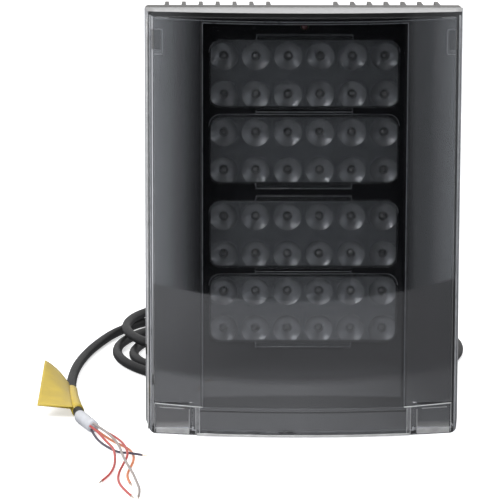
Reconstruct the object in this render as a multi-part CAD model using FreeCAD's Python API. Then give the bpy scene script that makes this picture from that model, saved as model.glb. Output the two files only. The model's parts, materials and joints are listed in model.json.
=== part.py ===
"""Security illuminator: a finned die-cast housing with four banks of light emitters behind lens
inserts and a clear bulged cover, a rear wall bracket that tilts and pans, and a supply cable.

Lengths are in millimetres. The pieces are built with the cover's rim plane at y = 0, the front
facing -y, +x to the right of someone who looks at the front, and z = 0 at the underside. At the
end they move back along y, so that the origin is the bottom centre of the unit without its cable.
"""

import FreeCAD, Part
import math
import os

Vector = FreeCAD.Vector
X = Vector(1, 0, 0)
Y = Vector(0, 1, 0)
Z = Vector(0, 0, 1)

# Whole body
width = 180.0
height = 242.0
front_bulge = 10.4        # how far the middle of the clear front stands before its side edges
side_draft = 2.5          # each side slopes out by this much from the rim plane to the rear
panel_width = 29.0        # the side panels, from the cover's edge at the rim plane to the window
skirt_depth = 23.0        # the cover reaches this far behind the rim plane
cover_wall = 3.0
base_corner_r = 4.0       # lower corners, seen from the front
top_corner_r = 2.0
front_edge_r = 2.5

# Housing casting
gasket_thick = 1.5
flange_thick = 11.5
base_thick = 5.0
fin_depth = 34.0
fin_root = 2.9
fin_tip = 2.1
fin_pitch = 9.7
fins_each_side = 7
fin_first = 2             # the first fin stands this many pitches from the middle
fin_top_gap = 1.0         # the fins stop this far under the body's top; below, they reach the floor
fin_chamfer = 5.0
tray_wall = 2.5
tray_gap_x = 0.5          # between the tray wall and the cover beside it
tray_gap_z = 1.2          # between the tray wall and the cover above and below it
tray_front_y = 8.0
bracket_boss_thick = 4.0
bracket_boss_border = 3.0 # the boss stands this much proud of the bracket's pad, above and below it

# Front mask behind the clear cover
mask_gap = 0.4
mask_thick = 1.8
window_bottom = 16.5
window_top_strip = 5.0
window_rim = 1.5

# Lens inserts and the frame that holds them
frame_y = 10.0
frame_thick = 4.0
frame_overlap = 1.5       # the frame reaches this far past the window
frame_gap = 0.4           # between the frame and the tray wall above it
insert_side_gap = 5.0     # between the inserts and the window's sides
lowest_strip = 35.2       # from the window's bottom edge to the lowest insert
highest_strip = 11.5      # from the highest insert to the window's top edge
pair_gap = 4.3            # between the two inserts of a pair
middle_gap = 9.2          # between the upper pair and the lower pair
insert_r = 6.5
insert_thick = 2.2
insert_pad = 0.6          # the raised middle of the insert
insert_gap = 0.3          # all round, in its recess
ledge = 1.0
tab_width = 54.5
long_tab = 3.3
short_tab = 0.9
frame_post_r = 3.5
frame_post_inset = 18.5

# Light engine
led_columns = 6
led_edge_x = 8.3          # from the insert's side to the middle of the nearest emitter
led_edge_z = 8.65
led_drop = 1.0            # the emitters sit this much below the middle of their insert
cup_mouth_r = 8.0
cup_base_r = 3.8
cup_pocket_r = 6.4
cup_pocket_depth = 5.0
cup_bore_r = 2.7
cup_bore_depth = 4.2
cup_clear = 0.3           # between the frame and the lens carrier
cup_plate = 1.7
cup_foot_gap = 1.9        # between a cup's foot and the board
leg_r = 1.5
board_overhang = 0.5      # the boards stand out past the inserts all round
board_thick = 1.6
pad_thick = 0.5
pad_margin = 1.0
emitter_side = 3.45
emitter_base = 1.4
emitter_dome_r = 1.5
led_connector = (4.0, 4.0, 8.0)

# Small screws: shank radius, head radius, head height
m3 = (1.5, 2.6, 2.0)
m4 = (2.0, 3.8, 3.4)
m5 = (2.5, 4.3, 5.0)
thread_gap = 0.05
hole_gap = 0.3

# Driver board in the lower part of the housing
driver_side_gap = 32.0    # from the driver board to the tray wall
driver_bottom = 8.0
driver_bridge = 4.0       # the board's strip above its notch
driver_thick = 1.6
driver_standoff = 4.6
standoff_r = 3.6
driver_screw_inset = 5.0
driver_notch_gap = 2.0    # between the notch and the gland's locknut
capacitor_r = 4.4
capacitor_length = 12.0
capacitor_x = 22.0
capacitor_z = (6.5, 17.5) # above the board's lower edge
capacitor_groove = (1.5, 0.8, 0.4)
choke_outer_r = 6.5
choke_inner_r = 3.2
choke_height = 6.0
choke_x = (-40.0, 44.0)
chip_spans = ((-26.0, 10.0), (-6.0, 7.0), (8.0, 7.0), (24.0, 12.0))
chip_height = 3.0
chip_thick = 1.6
chip_edge = 0.8           # between the chips and the board's upper edge
block_gap = 1.5           # between the terminal block and the notch
block_edge = 1.0          # between the terminal block and the board's lower edge
terminal_pitch = 5.2
terminal_r = 1.7
terminal_depth = 4.5
led_wire_r = 0.8
led_wire_gap = 5.0        # between the light boards and the nearer wire
led_wire_pitch = 2.6
led_wire_half_gap = 1.2
supply_core_drops = (-1.3, 0.2, 1.7)
supply_core_pitch = 1.5
supply_lane_gap = 2.5
supply_lane_pitch = 1.9
block_room_end = 8.6      # kept free for the screw at the board's end
block_height = 9.0
block_depth = 8.5

# Photocell at the top of the window
cell_drop = 4.4           # below the window's top edge
cell_r = 2.2
cell_board_half = 8.0
cell_board_reach = (3.6, 2.4)
cell_board_thick = 1.2
cell_board_y = 18.0
cell_post_r = 2.5

# Cover fixings in the lower corners
chamber_half = 10.5       # from the cover screw to the chamber's inner rib
chamber_top = 17.6
chamber_rib = 1.5
chamber_back_y = 5.0
cover_screw_inset = 9.0   # from the tray's side
cover_screw_y = 14.5
cover_screw_reach = 27.0
boss_r = 6.3
head_recess = 5.0
screw_head_z = 0.6
seal_thick = 1.0
lug_half = 6.3
lug_top = 30.0
lug_clear = 0.3
clip_drop = 21.5          # from the body's top to the clip's lower edge
clip_height = 11.0
clip_reach = 4.0
clip_depth = 8.0
clip_gap = 0.4

# Cable gland, on the middle line of the back
gland_z = 26.0
cable_r = 3.0
gland_bore_gap = 0.1
gland_hex = 20.0
gland_hex_thick = 5.0
gland_barrel_r = 8.5
gland_barrel = 11.0
gland_thread_r = 7.8
gland_hole_gap = 0.2
locknut_hex = 19.0
locknut_thick = 4.0
seal_r = 6.5
seal_length = 7.9
seal_depth = 6.9
nut_start = 2.0           # from the gland's hexagon to its nut
nut_hex_length = 11.0
nut_dome = 6.0
nut_dome_r = 6.5
boot_length = 20.0
boot_root_r = 6.0
boot_tip_r = 4.0

# Wall bracket: the mount on the housing, the arm, and the wall foot
bracket_z = 140.0
mount_pad_gap = 0.95      # each side, between the pad and the fins
mount_pad_height = 66.0
mount_pad_thick = 6.0
mount_pad_r = 4.0
mount_screw_inset_x = 5.5
mount_screw_inset_z = 7.0
ear_thick = 5.8
neck_half_z = 13.0
ear_r = 12.0
ear_gap = 0.2             # each side, between the ears and the lug
lug_half_width = 9.0
pivot_r = 4.0
pivot_gap = 0.05
tilt_y = 88.0
slot_depth = 18.0         # from the tilt axis to the bottom of the clevis
arm_length = 40.0
arm_half_x = 8.5
arm_half_z = 8.0
pan_lug_half = 10.0
foot_ear_thick = 6.0
foot_reach = 22.0         # from the pan axis to the front of the wall plate
foot_half_x = 30.0
foot_half_z = 42.0
foot_thick = 5.0
foot_corner_r = 6.0
foot_hole_x = 22.0
foot_hole_z = 32.0
foot_hole_r = 3.3
foot_web_gap = 2.0
bolt_head_r = 8.0
bolt_head_thick = 5.0
bolt_nut_hex = 13.0
tilt_limit = 45.0
pan_limit = 45.0

# Cable: the points of each route are chosen by hand and stay as they are
cable_rest = cable_r + 0.05
flag_sheet = 0.6
flag_near_y = 41.0
flag_far_y = 99.0
flag_inset = 0.5
sleeve_wall = 0.7
sleeve_length = 25.0
core_r = 0.7
core_circle_r = 2.1
core_gap = 0.25
coil_height = 13.0
coil_near = Vector(-7.0, 212.0, 0)
coil_near_r = 108.0
coil_far = Vector(-9.0, 255.0, 0)
coil_far_r = 101.0
coil_hole = Vector(-28.0, 213.0, 0)
coil_hole_r = 34.0

# Sizes and places worked out from the sizes above
front_half = width / 2 - side_draft
tray_half = front_half - cover_wall - tray_gap_x
window_half = front_half - panel_width
window_top = height - window_top_strip
insert_width = 2 * (window_half - insert_side_gap)
insert_height = (window_top - window_bottom - lowest_strip - highest_strip - 2 * pair_gap - middle_gap) / 4
led_pitch_x = (insert_width - 2 * led_edge_x) / (led_columns - 1)
led_pitch_z = insert_height - 2 * led_edge_z
board_width = insert_width + 2 * board_overhang
board_height = insert_height + 2 * board_overhang
lowest_insert_z = window_bottom + lowest_strip + insert_height / 2
pair_pitch = insert_height + pair_gap
middle_pitch = insert_height + middle_gap
frame_post_x = window_half - frame_post_inset
driver_half = tray_half - driver_side_gap
driver_notch_half = locknut_hex / math.sqrt(3) + driver_notch_gap
driver_notch_top = gland_z + driver_notch_half
driver_top = driver_notch_top + driver_bridge
block_room = driver_half - driver_notch_half - block_gap - block_room_end
terminals = int(block_room / terminal_pitch)
block_width = terminals * terminal_pitch
cell_z = window_top - cell_drop
cover_screw_x = tray_half - cover_screw_inset
chamber_inner_x = cover_screw_x - chamber_half
clip_z = height - clip_drop
channel_half = fin_pitch * fin_first - fin_root / 2
mount_pad_width = 2 * (channel_half - mount_pad_gap)
mount_screw_x = mount_pad_width / 2 - mount_screw_inset_x
mount_screw_z = mount_pad_height / 2 - mount_screw_inset_z
neck_half_x = lug_half_width + ear_gap + ear_thick
flag_r = cable_r + flag_sheet
sleeve_r = cable_r + sleeve_wall
flange_y = skirt_depth + gasket_thick
fin_root_y = flange_y + flange_thick
base_y = fin_root_y - base_thick
fin_tip_y = fin_root_y + fin_depth
front_r = (front_bulge ** 2 + front_half ** 2) / (2 * front_bulge)
front_centre_y = front_r - front_bulge
inner_top = height - cover_wall
tray_bottom = cover_wall + tray_gap_z
tray_top = inner_top - tray_gap_z
pad_y = base_y - pad_thick
board_y = pad_y - board_thick
cup_mouth_y = frame_y + frame_thick + cup_clear
cup_foot_y = board_y - cup_foot_gap
cup_depth = cup_foot_y - cup_mouth_y
module_z = [
    lowest_insert_z + 2 * pair_pitch + middle_pitch,
    lowest_insert_z + pair_pitch + middle_pitch,
    lowest_insert_z + pair_pitch,
    lowest_insert_z,
]
tab_up = [True, False, True, False]
driver_y = base_y - driver_standoff - driver_thick
driver_x = driver_half - driver_screw_inset
mount_y = fin_root_y + bracket_boss_thick
pan_y = tilt_y + arm_length
foot_y = pan_y + foot_reach
back_y = foot_y + foot_thick
gland_seat_y = fin_root_y
gland_nut_y = gland_seat_y + gland_hex_thick + nut_start
boot_y = gland_nut_y + nut_hex_length + nut_dome
cable_exit_y = boot_y + boot_length
frame_shift = Vector(0, -(back_y - front_bulge) / 2, 0)


def block(x0, x1, y0, y1, z0, z1):
    return Part.makeBox(x1 - x0, y1 - y0, z1 - z0, Vector(x0, y0, z0))


def rod(radius, start, end):
    return Part.makeCylinder(radius, (end - start).Length, start, end - start)


def taper(radius_start, radius_end, start, end):
    return Part.makeCone(radius_start, radius_end, (end - start).Length, start, end - start)


def fused(shapes):
    first, rest = shapes[0], shapes[1:]
    return first.fuse(rest).removeSplitter() if rest else first


def aimed(shape, at, direction):
    """A shape built up along +z from the origin, placed at a point and turned to a direction."""
    placed = shape.copy()
    placed.Placement = FreeCAD.Placement(at, FreeCAD.Rotation(Z, direction))
    return placed


def hexagon(across_flats, length):
    radius = across_flats / math.sqrt(3)
    corners = [
        Vector(radius * math.cos(math.radians(60 * k)), radius * math.sin(math.radians(60 * k)), 0)
        for k in range(6)
    ]
    outline = Part.makePolygon(corners + corners[:1])
    return Part.Face(outline).extrude(Vector(0, 0, length))


def rounded(shape, radius, picked):
    edges = [edge for edge in shape.Edges if picked(edge)]
    return shape.makeFillet(radius, edges)


def runs_along(edge, axis):
    first, last = edge.Vertexes[0].Point, edge.Vertexes[-1].Point
    run = last - first
    return run.Length > 0 and abs(run.normalize() * axis) > 0.999


def rounded_plate(x0, x1, y0, y1, z0, z1, radius):
    """A plate across y, with its four corners rounded."""
    return rounded(block(x0, x1, y0, y1, z0, z1), radius, lambda edge: runs_along(edge, Y))


def cap_screw(size, length):
    """A socket cap screw along +z, with its head's top face at z = 0."""
    shank_r, head_r, head_height = size
    head = rod(head_r, Vector(0, 0, 0), Vector(0, 0, head_height))
    shank = rod(shank_r, Vector(0, 0, head_height), Vector(0, 0, head_height + length))
    socket = hexagon(head_r, head_height * 0.55)
    return fused([head, shank]).cut(socket)


def side_by_side(shape):
    """The shape and its mirror image on the other side of the middle plane."""
    return [shape, shape.mirror(Vector(0, 0, 0), X)]


# Clear cover and what lies directly behind it


def cover_solid(inset, rear_y, low_z, high_z):
    """The cover's outer form, drawn in by an inset on its front and sides."""
    radius = front_r - inset
    slope = (width / 2 - front_half) / skirt_depth
    front_x = front_half - inset
    front_y = front_centre_y - math.sqrt(radius ** 2 - front_x ** 2)
    rear_x = front_x + slope * (rear_y - front_y)
    front_left = Vector(-front_x, front_y, low_z)
    front_right = Vector(front_x, front_y, low_z)
    outline = Part.Wire([
        Part.Arc(front_left, Vector(0, front_centre_y - radius, low_z), front_right).toShape(),
        Part.makeLine(front_right, Vector(rear_x, rear_y, low_z)),
        Part.makeLine(Vector(rear_x, rear_y, low_z), Vector(-rear_x, rear_y, low_z)),
        Part.makeLine(Vector(-rear_x, rear_y, low_z), front_left),
    ])
    return Part.Face(outline).extrude(Vector(0, 0, high_z - low_z))


def front_cover():
    outside = cover_solid(0, skirt_depth, 0, height)
    outside = rounded(outside, front_edge_r, lambda edge: runs_along(edge, Z) and edge.CenterOfMass.y < 5)
    outside = rounded(
        outside,
        base_corner_r,
        lambda edge: edge.CenterOfMass.z < 0.1 and abs(edge.CenterOfMass.x) > front_half - front_edge_r
        and edge.CenterOfMass.y > front_edge_r,
    )
    inside = cover_solid(cover_wall, skirt_depth, cover_wall, inner_top)
    shell = outside.cut(inside)
    trims = [chamber_ribs(), screw_boss(), clip()]
    for trim in trims:
        shell = shell.fuse([piece.common(outside) for piece in side_by_side(trim)])
    bore = rod(m4[0] + hole_gap, Vector(cover_screw_x, cover_screw_y, 0), Vector(cover_screw_x, cover_screw_y, lug_top))
    recess = rod(m4[1] + hole_gap, Vector(cover_screw_x, cover_screw_y, 0), Vector(cover_screw_x, cover_screw_y, head_recess))
    return shell.cut(side_by_side(bore) + side_by_side(recess)).removeSplitter()


def chamber_ribs():
    """Two clear ribs that box in a lower corner of the cover, where its screw is."""
    upright = block(
        chamber_inner_x - chamber_rib, chamber_inner_x, -front_bulge, chamber_back_y,
        0, chamber_top + chamber_rib,
    )
    level = block(
        chamber_inner_x - chamber_rib, width / 2, -front_bulge, chamber_back_y,
        chamber_top, chamber_top + chamber_rib,
    )
    return fused([upright, level])


def screw_boss():
    foot = Vector(cover_screw_x, cover_screw_y, 0)
    return rod(boss_r, foot, foot + Z * (chamber_top - lug_clear))


def clip():
    """The tongue inside the cover's side wall that hooks behind the front mask."""
    return block(
        front_half - cover_wall - clip_reach, width / 2, -clip_gap, clip_depth - clip_gap,
        clip_z, clip_z + clip_height,
    )


def cover_gasket():
    edge = 0.6
    inner_half = width / 2 - cover_wall + edge / 3
    ring = block(
        -width / 2 + edge, width / 2 - edge, skirt_depth, flange_y, edge, height - edge,
    )
    hole = block(
        -inner_half, inner_half, skirt_depth, flange_y, cover_wall, inner_top,
    )
    return rounded(ring, base_corner_r, lambda edge: runs_along(edge, Y) and edge.CenterOfMass.z < height / 2).cut(hole)


def front_mask():
    """The black moulding behind the clear cover: side panels, bottom strip and window well."""
    outer_inset = cover_wall + mask_gap
    rear_y = tray_front_y
    low, high = cover_wall + mask_gap, inner_top - mask_gap
    solid = cover_solid(outer_inset, rear_y, low, high)
    hollow = cover_solid(outer_inset + mask_thick, rear_y, low + mask_thick, high - mask_thick)
    shell = solid.cut(hollow)
    well = block(
        -window_half - window_rim, window_half + window_rim, -front_bulge, frame_y,
        window_bottom - window_rim, window_top + window_rim,
    )
    shell = shell.fuse(well.common(cover_solid(outer_inset, frame_y, low, high)))
    corner_out = block(
        chamber_inner_x - chamber_rib - 2 * mask_gap, width / 2, -front_bulge, rear_y,
        0, chamber_top + chamber_rib + mask_gap,
    )
    corner_in = block(
        chamber_inner_x - chamber_rib - 2 * mask_gap - mask_thick, width / 2, -front_bulge, rear_y,
        0, chamber_top + chamber_rib + mask_gap + mask_thick,
    )
    corner_wall = corner_in.cut(
        block(
            chamber_inner_x - chamber_rib - 2 * mask_gap, width, -front_bulge, chamber_back_y + mask_gap,
            0, chamber_top + chamber_rib + mask_gap,
        )
    )
    notch = block(
        front_half - cover_wall - clip_reach - clip_gap, width / 2, -front_bulge, rear_y,
        clip_z - clip_gap, clip_z + clip_height + clip_gap,
    )
    shell = shell.cut(side_by_side(corner_out) + side_by_side(notch))
    shell = shell.fuse([piece.common(solid) for piece in side_by_side(corner_wall)])
    opening = block(
        -window_half, window_half, -2 * front_bulge, frame_y, window_bottom, window_top,
    )
    return shell.cut(opening).removeSplitter()


# Lens inserts and their frame


def insert_outline(grow, y0, y1, centre_z, up):
    """The insert's plate with its two tabs, grown all round."""
    half_x, half_z = insert_width / 2 + grow, insert_height / 2 + grow
    plate = rounded_plate(-half_x, half_x, y0, y1, centre_z - half_z, centre_z + half_z, insert_r)
    above, below = (long_tab, short_tab) if up else (short_tab, long_tab)
    tabs = block(
        -tab_width / 2 - grow, tab_width / 2 + grow, y0, y1,
        centre_z - half_z - below, centre_z + half_z + above,
    )
    return fused([plate, tabs])


def insert_frame():
    half_x = window_half + frame_overlap
    rear_y = frame_y + frame_thick
    plate = block(
        -half_x, half_x, frame_y, rear_y, window_bottom - frame_overlap, window_top + frame_overlap,
    )
    seat_y = frame_y + insert_thick
    for centre_z, up in zip(module_z, tab_up):
        plate = plate.cut(insert_outline(insert_gap, frame_y, seat_y, centre_z, up))
        half_w, half_h = insert_width / 2 - ledge, insert_height / 2 - ledge
        plate = plate.cut(rounded_plate(
            -half_w, half_w, seat_y, rear_y, centre_z - half_h, centre_z + half_h, insert_r - ledge,
        ))
    plate = plate.cut(rod(cell_r + hole_gap, Vector(0, frame_y, cell_z), Vector(0, rear_y, cell_z)))
    posts = [
        rod(frame_post_r, Vector(x, rear_y, z), Vector(x, base_y, z))
        for z in frame_post_heights()
        for x in (-frame_post_x, frame_post_x)
    ]
    return fused([plate] + posts)


def frame_post_heights():
    reach = insert_height / 2 + long_tab + frame_post_r * 0.5
    return [module_z[0] + reach, (module_z[1] + module_z[2]) / 2, module_z[3] - reach]


def lens_insert(centre_z, up):
    plate = insert_outline(0, frame_y, frame_y + insert_thick, centre_z, up)
    half_w, half_h = insert_width / 2 - ledge, insert_height / 2 - ledge
    pad = rounded_plate(
        -half_w, half_w, frame_y - insert_pad, frame_y, centre_z - half_h, centre_z + half_h,
        insert_r - ledge,
    )
    return fused([plate, pad])


# Light engine


def column_x():
    return [led_pitch_x * (k - (led_columns - 1) / 2) for k in range(led_columns)]


def emitter_places(centre_z):
    rows = (centre_z - led_drop + led_pitch_z / 2, centre_z - led_drop - led_pitch_z / 2)
    return [(x, z) for z in rows for x in column_x()]


def board_screw_x():
    return [-led_pitch_x, led_pitch_x]


def collimator_cup():
    """One cup along +z from its foot: a solid bell with a front pocket and a bore for the emitter."""
    waist = Vector((cup_base_r + cup_mouth_r) / 2 + 0.9, 0, cup_depth * 0.5)
    foot, mouth = Vector(cup_base_r, 0, 0), Vector(cup_mouth_r, 0, cup_depth)
    half = Part.Face(Part.Wire([
        Part.makeLine(Vector(0, 0, 0), foot),
        Part.Arc(foot, waist, mouth).toShape(),
        Part.makeLine(mouth, Vector(0, 0, cup_depth)),
        Part.makeLine(Vector(0, 0, cup_depth), Vector(0, 0, 0)),
    ]))
    bell = half.revolve(Vector(0, 0, 0), Z, 360)
    bore = rod(cup_bore_r, Vector(0, 0, 0), Vector(0, 0, cup_bore_depth))
    pocket = taper(
        cup_bore_r * 0.6, cup_pocket_r, Vector(0, 0, cup_depth - cup_pocket_depth), Vector(0, 0, cup_depth),
    )
    return bell, [bore, pocket]


def collimator_array(centre_z):
    half_x, half_z = insert_width / 2 - ledge / 2, insert_height / 2 - ledge / 2
    plate = rounded_plate(
        -half_x, half_x, cup_mouth_y, cup_mouth_y + cup_plate, centre_z - half_z, centre_z + half_z,
        insert_r - ledge,
    )
    bell, holes = collimator_cup()
    solids, cuts = [plate], []
    for x, z in emitter_places(centre_z):
        at = Vector(x, cup_foot_y, z)
        solids.append(aimed(bell, at, -Y))
        cuts += [aimed(hole, at, -Y) for hole in holes]
    row_z = centre_z - led_drop
    solids += [
        rod(leg_r, Vector(x, cup_mouth_y, row_z), Vector(x, board_y, row_z))
        for x in (-2 * led_pitch_x, 0, 2 * led_pitch_x)
    ]
    return fused(solids).cut(cuts)


def led_board(centre_z):
    half_x, half_z = board_width / 2, board_height / 2
    board = block(-half_x, half_x, board_y, pad_y, centre_z - half_z, centre_z + half_z)
    wide, deep, tall = led_connector
    row_z = centre_z - led_drop
    socket = block(-half_x, -half_x + wide, board_y - deep, board_y, row_z - tall / 2, row_z + tall / 2)
    holes = [
        rod(m3[0] + hole_gap, Vector(x, board_y, row_z), Vector(x, pad_y, row_z)) for x in board_screw_x()
    ]
    return fused([board, socket]).cut(holes)


def led_emitters(centre_z):
    solids = []
    for x, z in emitter_places(centre_z):
        half = emitter_side / 2
        base = block(x - half, x + half, board_y - emitter_base, board_y, z - half, z + half)
        dome = Part.makeSphere(emitter_dome_r, Vector(x, board_y - emitter_base, z))
        front = block(x - half, x + half, board_y - 2 * emitter_base - half, board_y - emitter_base, z - half, z + half)
        solids.append(fused([base, dome.common(front)]))
    return Part.makeCompound(solids)


def thermal_pads():
    half_x, half_z = board_width / 2 - pad_margin, board_height / 2 - pad_margin
    pads = []
    for centre_z in module_z:
        pad = block(-half_x, half_x, pad_y, base_y, centre_z - half_z, centre_z + half_z)
        row_z = centre_z - led_drop
        holes = [
            rod(m3[0] + 2 * hole_gap, Vector(x, pad_y, row_z), Vector(x, base_y, row_z))
            for x in board_screw_x()
        ]
        pads.append(pad.cut(holes))
    return Part.makeCompound(pads)


def board_screw_points():
    return [(x, centre_z - led_drop) for centre_z in module_z for x in board_screw_x()]


def led_board_screws():
    length = fin_root_y - board_y - 1.0
    screw = cap_screw(m3, length)
    return Part.makeCompound([
        aimed(screw, Vector(x, board_y - m3[2], z), Y) for x, z in board_screw_points()
    ])


# Housing


def fin(x):
    half_root, half_tip = fin_root / 2, fin_tip / 2
    root_y = fin_root_y - 1.0
    corners = [
        Vector(x - half_root, root_y, 0),
        Vector(x + half_root, root_y, 0),
        Vector(x + half_tip, fin_tip_y, 0),
        Vector(x - half_tip, fin_tip_y, 0),
    ]
    fin_top = height - fin_top_gap
    blade = Part.Face(Part.makePolygon(corners + corners[:1])).extrude(Z * fin_top)
    lower = [
        Vector(x - fin_pitch, fin_tip_y - fin_chamfer, 0),
        Vector(x - fin_pitch, fin_tip_y, 0),
        Vector(x - fin_pitch, fin_tip_y, fin_chamfer),
    ]
    wedge = Part.Face(Part.makePolygon(lower + lower[:1])).extrude(X * (2 * fin_pitch))
    upper = wedge.mirror(Vector(0, 0, fin_top / 2), Z)
    return blade.cut([wedge, upper])


def fin_x():
    return [fin_pitch * (fin_first + k) for k in range(fins_each_side)]


def driver_screw_points():
    low, high = driver_bottom + driver_screw_inset, driver_top - driver_screw_inset
    return [(x, z) for x in (-driver_x, driver_x) for z in (low, high)]


def mount_screw_points():
    return [
        (sx * mount_screw_x, bracket_z + sz * mount_screw_z) for sx in (-1, 1) for sz in (-1, 1)
    ]


def heat_sink_housing():
    back = rounded(
        block(-width / 2, width / 2, flange_y, fin_root_y, 0, height),
        base_corner_r,
        lambda edge: runs_along(edge, Y) and edge.CenterOfMass.z < height / 2,
    )
    back = rounded(
        back, top_corner_r, lambda edge: runs_along(edge, Y) and edge.CenterOfMass.z > height / 2,
    )
    tray = block(-tray_half, tray_half, tray_front_y, fin_root_y, tray_bottom, tray_top)
    room = block(
        -tray_half + tray_wall, tray_half - tray_wall, tray_front_y, base_y,
        tray_bottom + tray_wall, tray_top - tray_wall,
    )
    frame_seat = block(
        -window_half - frame_overlap - frame_gap, window_half + frame_overlap + frame_gap,
        tray_front_y, frame_y + frame_thick + frame_gap, tray_top - 2 * tray_wall, tray_top,
    )
    casting = fused([back, tray]).cut([room, frame_seat])
    boss_half = mount_pad_height / 2 + bracket_boss_border
    boss = block(
        -channel_half, channel_half, fin_root_y - 1, mount_y, bracket_z - boss_half, bracket_z + boss_half,
    )
    blades = [piece for x in fin_x() for piece in side_by_side(fin(x))]
    standoffs = [
        rod(standoff_r, Vector(x, base_y - driver_standoff, z), Vector(x, fin_root_y, z))
        for x, z in driver_screw_points()
    ]
    cell_post = rod(cell_post_r, Vector(0, cell_board_y + cell_board_thick, cell_z), Vector(0, fin_root_y, cell_z))
    lug = block(
        cover_screw_x - lug_half, tray_half - tray_wall / 2, cover_screw_y - lug_half, fin_root_y - 1,
        chamber_top, lug_top,
    )
    casting = fused([casting, boss] + blades + standoffs + [cell_post] + side_by_side(lug))
    boss_room = fused([
        rod(boss_r + lug_clear, Vector(cover_screw_x, cover_screw_y, 0), Vector(cover_screw_x, cover_screw_y, chamber_top)),
        block(cover_screw_x - boss_r - lug_clear, cover_screw_x + boss_r + lug_clear, 0, cover_screw_y, 0, chamber_top),
    ])
    holes = side_by_side(boss_room)
    holes += side_by_side(rod(
        m4[0] + thread_gap, Vector(cover_screw_x, cover_screw_y, chamber_top),
        Vector(cover_screw_x, cover_screw_y, cover_screw_reach + 1),
    ))
    holes += [
        rod(m3[0] + thread_gap, Vector(x, base_y, z), Vector(x, fin_root_y - 0.5, z))
        for x, z in board_screw_points()
    ]
    holes += [
        rod(m3[0] + thread_gap, Vector(x, base_y - driver_standoff, z), Vector(x, fin_root_y - 0.5, z))
        for x, z in driver_screw_points()
    ]
    holes += [
        rod(m5[0] + thread_gap, Vector(x, base_y + 1.5, z), Vector(x, mount_y, z))
        for x, z in mount_screw_points()
    ]
    holes.append(rod(gland_thread_r + gland_hole_gap, Vector(0, base_y, gland_z), Vector(0, fin_root_y, gland_z)))
    return casting.cut(holes).removeSplitter()


# Driver board and photocell


def driver_board():
    board = block(-driver_half, driver_half, driver_y, driver_y + driver_thick, driver_bottom, driver_top)
    notch = block(
        -driver_notch_half, driver_notch_half, driver_y, driver_y + driver_thick, driver_bottom, driver_notch_top,
    )
    holes = [
        rod(m3[0] + hole_gap, Vector(x, driver_y, z), Vector(x, driver_y + driver_thick, z))
        for x, z in driver_screw_points()
    ]
    return board.cut([notch] + holes)


def driver_screws():
    length = driver_thick + driver_standoff + base_thick - 1.5
    screw = cap_screw(m3, length)
    return Part.makeCompound([
        aimed(screw, Vector(x, driver_y - m3[2], z), Y) for x, z in driver_screw_points()
    ])


def capacitors():
    centre_y = driver_y - capacitor_r
    cans = []
    inset, wide, deep = capacitor_groove
    for above in capacitor_z:
        foot = Vector(capacitor_x, centre_y, driver_bottom + above)
        can = rod(capacitor_r, foot, foot + X * capacitor_length)
        near, far = foot + X * inset, foot + X * (inset + wide)
        cans.append(can.cut(rod(capacitor_r, near, far).cut(rod(capacitor_r - deep, near, far))))
    return Part.makeCompound(cans)


def chokes():
    rings = []
    for x in choke_x:
        foot = Vector(x, driver_y - choke_height, (driver_bottom + driver_top) / 2)
        rings.append(
            rod(choke_outer_r, foot, foot + Y * choke_height).cut(rod(choke_inner_r, foot, foot + Y * choke_height))
        )
    return Part.makeCompound(rings)


def control_chips():
    chips = []
    top = driver_top - chip_edge
    for x, wide in chip_spans:
        chips.append(block(x, x + wide, driver_y - chip_thick, driver_y, top - chip_height, top))
    return Part.makeCompound(chips)


def terminal_block():
    right = -driver_notch_half - block_gap
    low = driver_bottom + block_edge
    front_y = driver_y - block_depth
    body = block(right - block_width, right, front_y, driver_y, low, low + block_height)
    wells = []
    for k in range(terminals):
        mouth = Vector(terminal_x(k), front_y, low + block_height * 0.45)
        wells.append(rod(terminal_r, mouth, mouth + Y * terminal_depth))
    return body.cut(wells)


def terminal_x(k):
    return -driver_notch_half - block_gap - terminal_pitch * (k + 0.5)


def photocell_board():
    below, above = cell_board_reach
    low, high = cell_z - below, cell_z + above
    return block(
        -cell_board_half, cell_board_half, cell_board_y, cell_board_y + cell_board_thick, low, high,
    )


def photocell():
    tip = frame_y + cell_r
    body = rod(cell_r, Vector(0, tip, cell_z), Vector(0, cell_board_y, cell_z))
    return fused([body, Part.makeSphere(cell_r, Vector(0, tip, cell_z))])


# Fixings


def cover_screws():
    screw = cap_screw(m4, cover_screw_reach - screw_head_z - m4[2])
    at = Vector(cover_screw_x, cover_screw_y, screw_head_z)
    return Part.makeCompound(side_by_side(aimed(screw, at, Z)))


def cover_screw_seals():
    low = Vector(cover_screw_x, cover_screw_y, screw_head_z + m4[2])
    high = Vector(cover_screw_x, cover_screw_y, head_recess)
    ring = rod(m4[1] - 0.2, low, high).cut(rod(m4[0] + 0.1, low, high))
    return Part.makeCompound(side_by_side(ring))


def bracket_screws():
    length = mount_pad_thick + mount_y - base_y - 2.5
    screw = cap_screw(m5, length)
    top_y = mount_y + mount_pad_thick + m5[2]
    return Part.makeCompound([aimed(screw, Vector(x, top_y, z), -Y) for x, z in mount_screw_points()])


# Wall bracket


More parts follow.
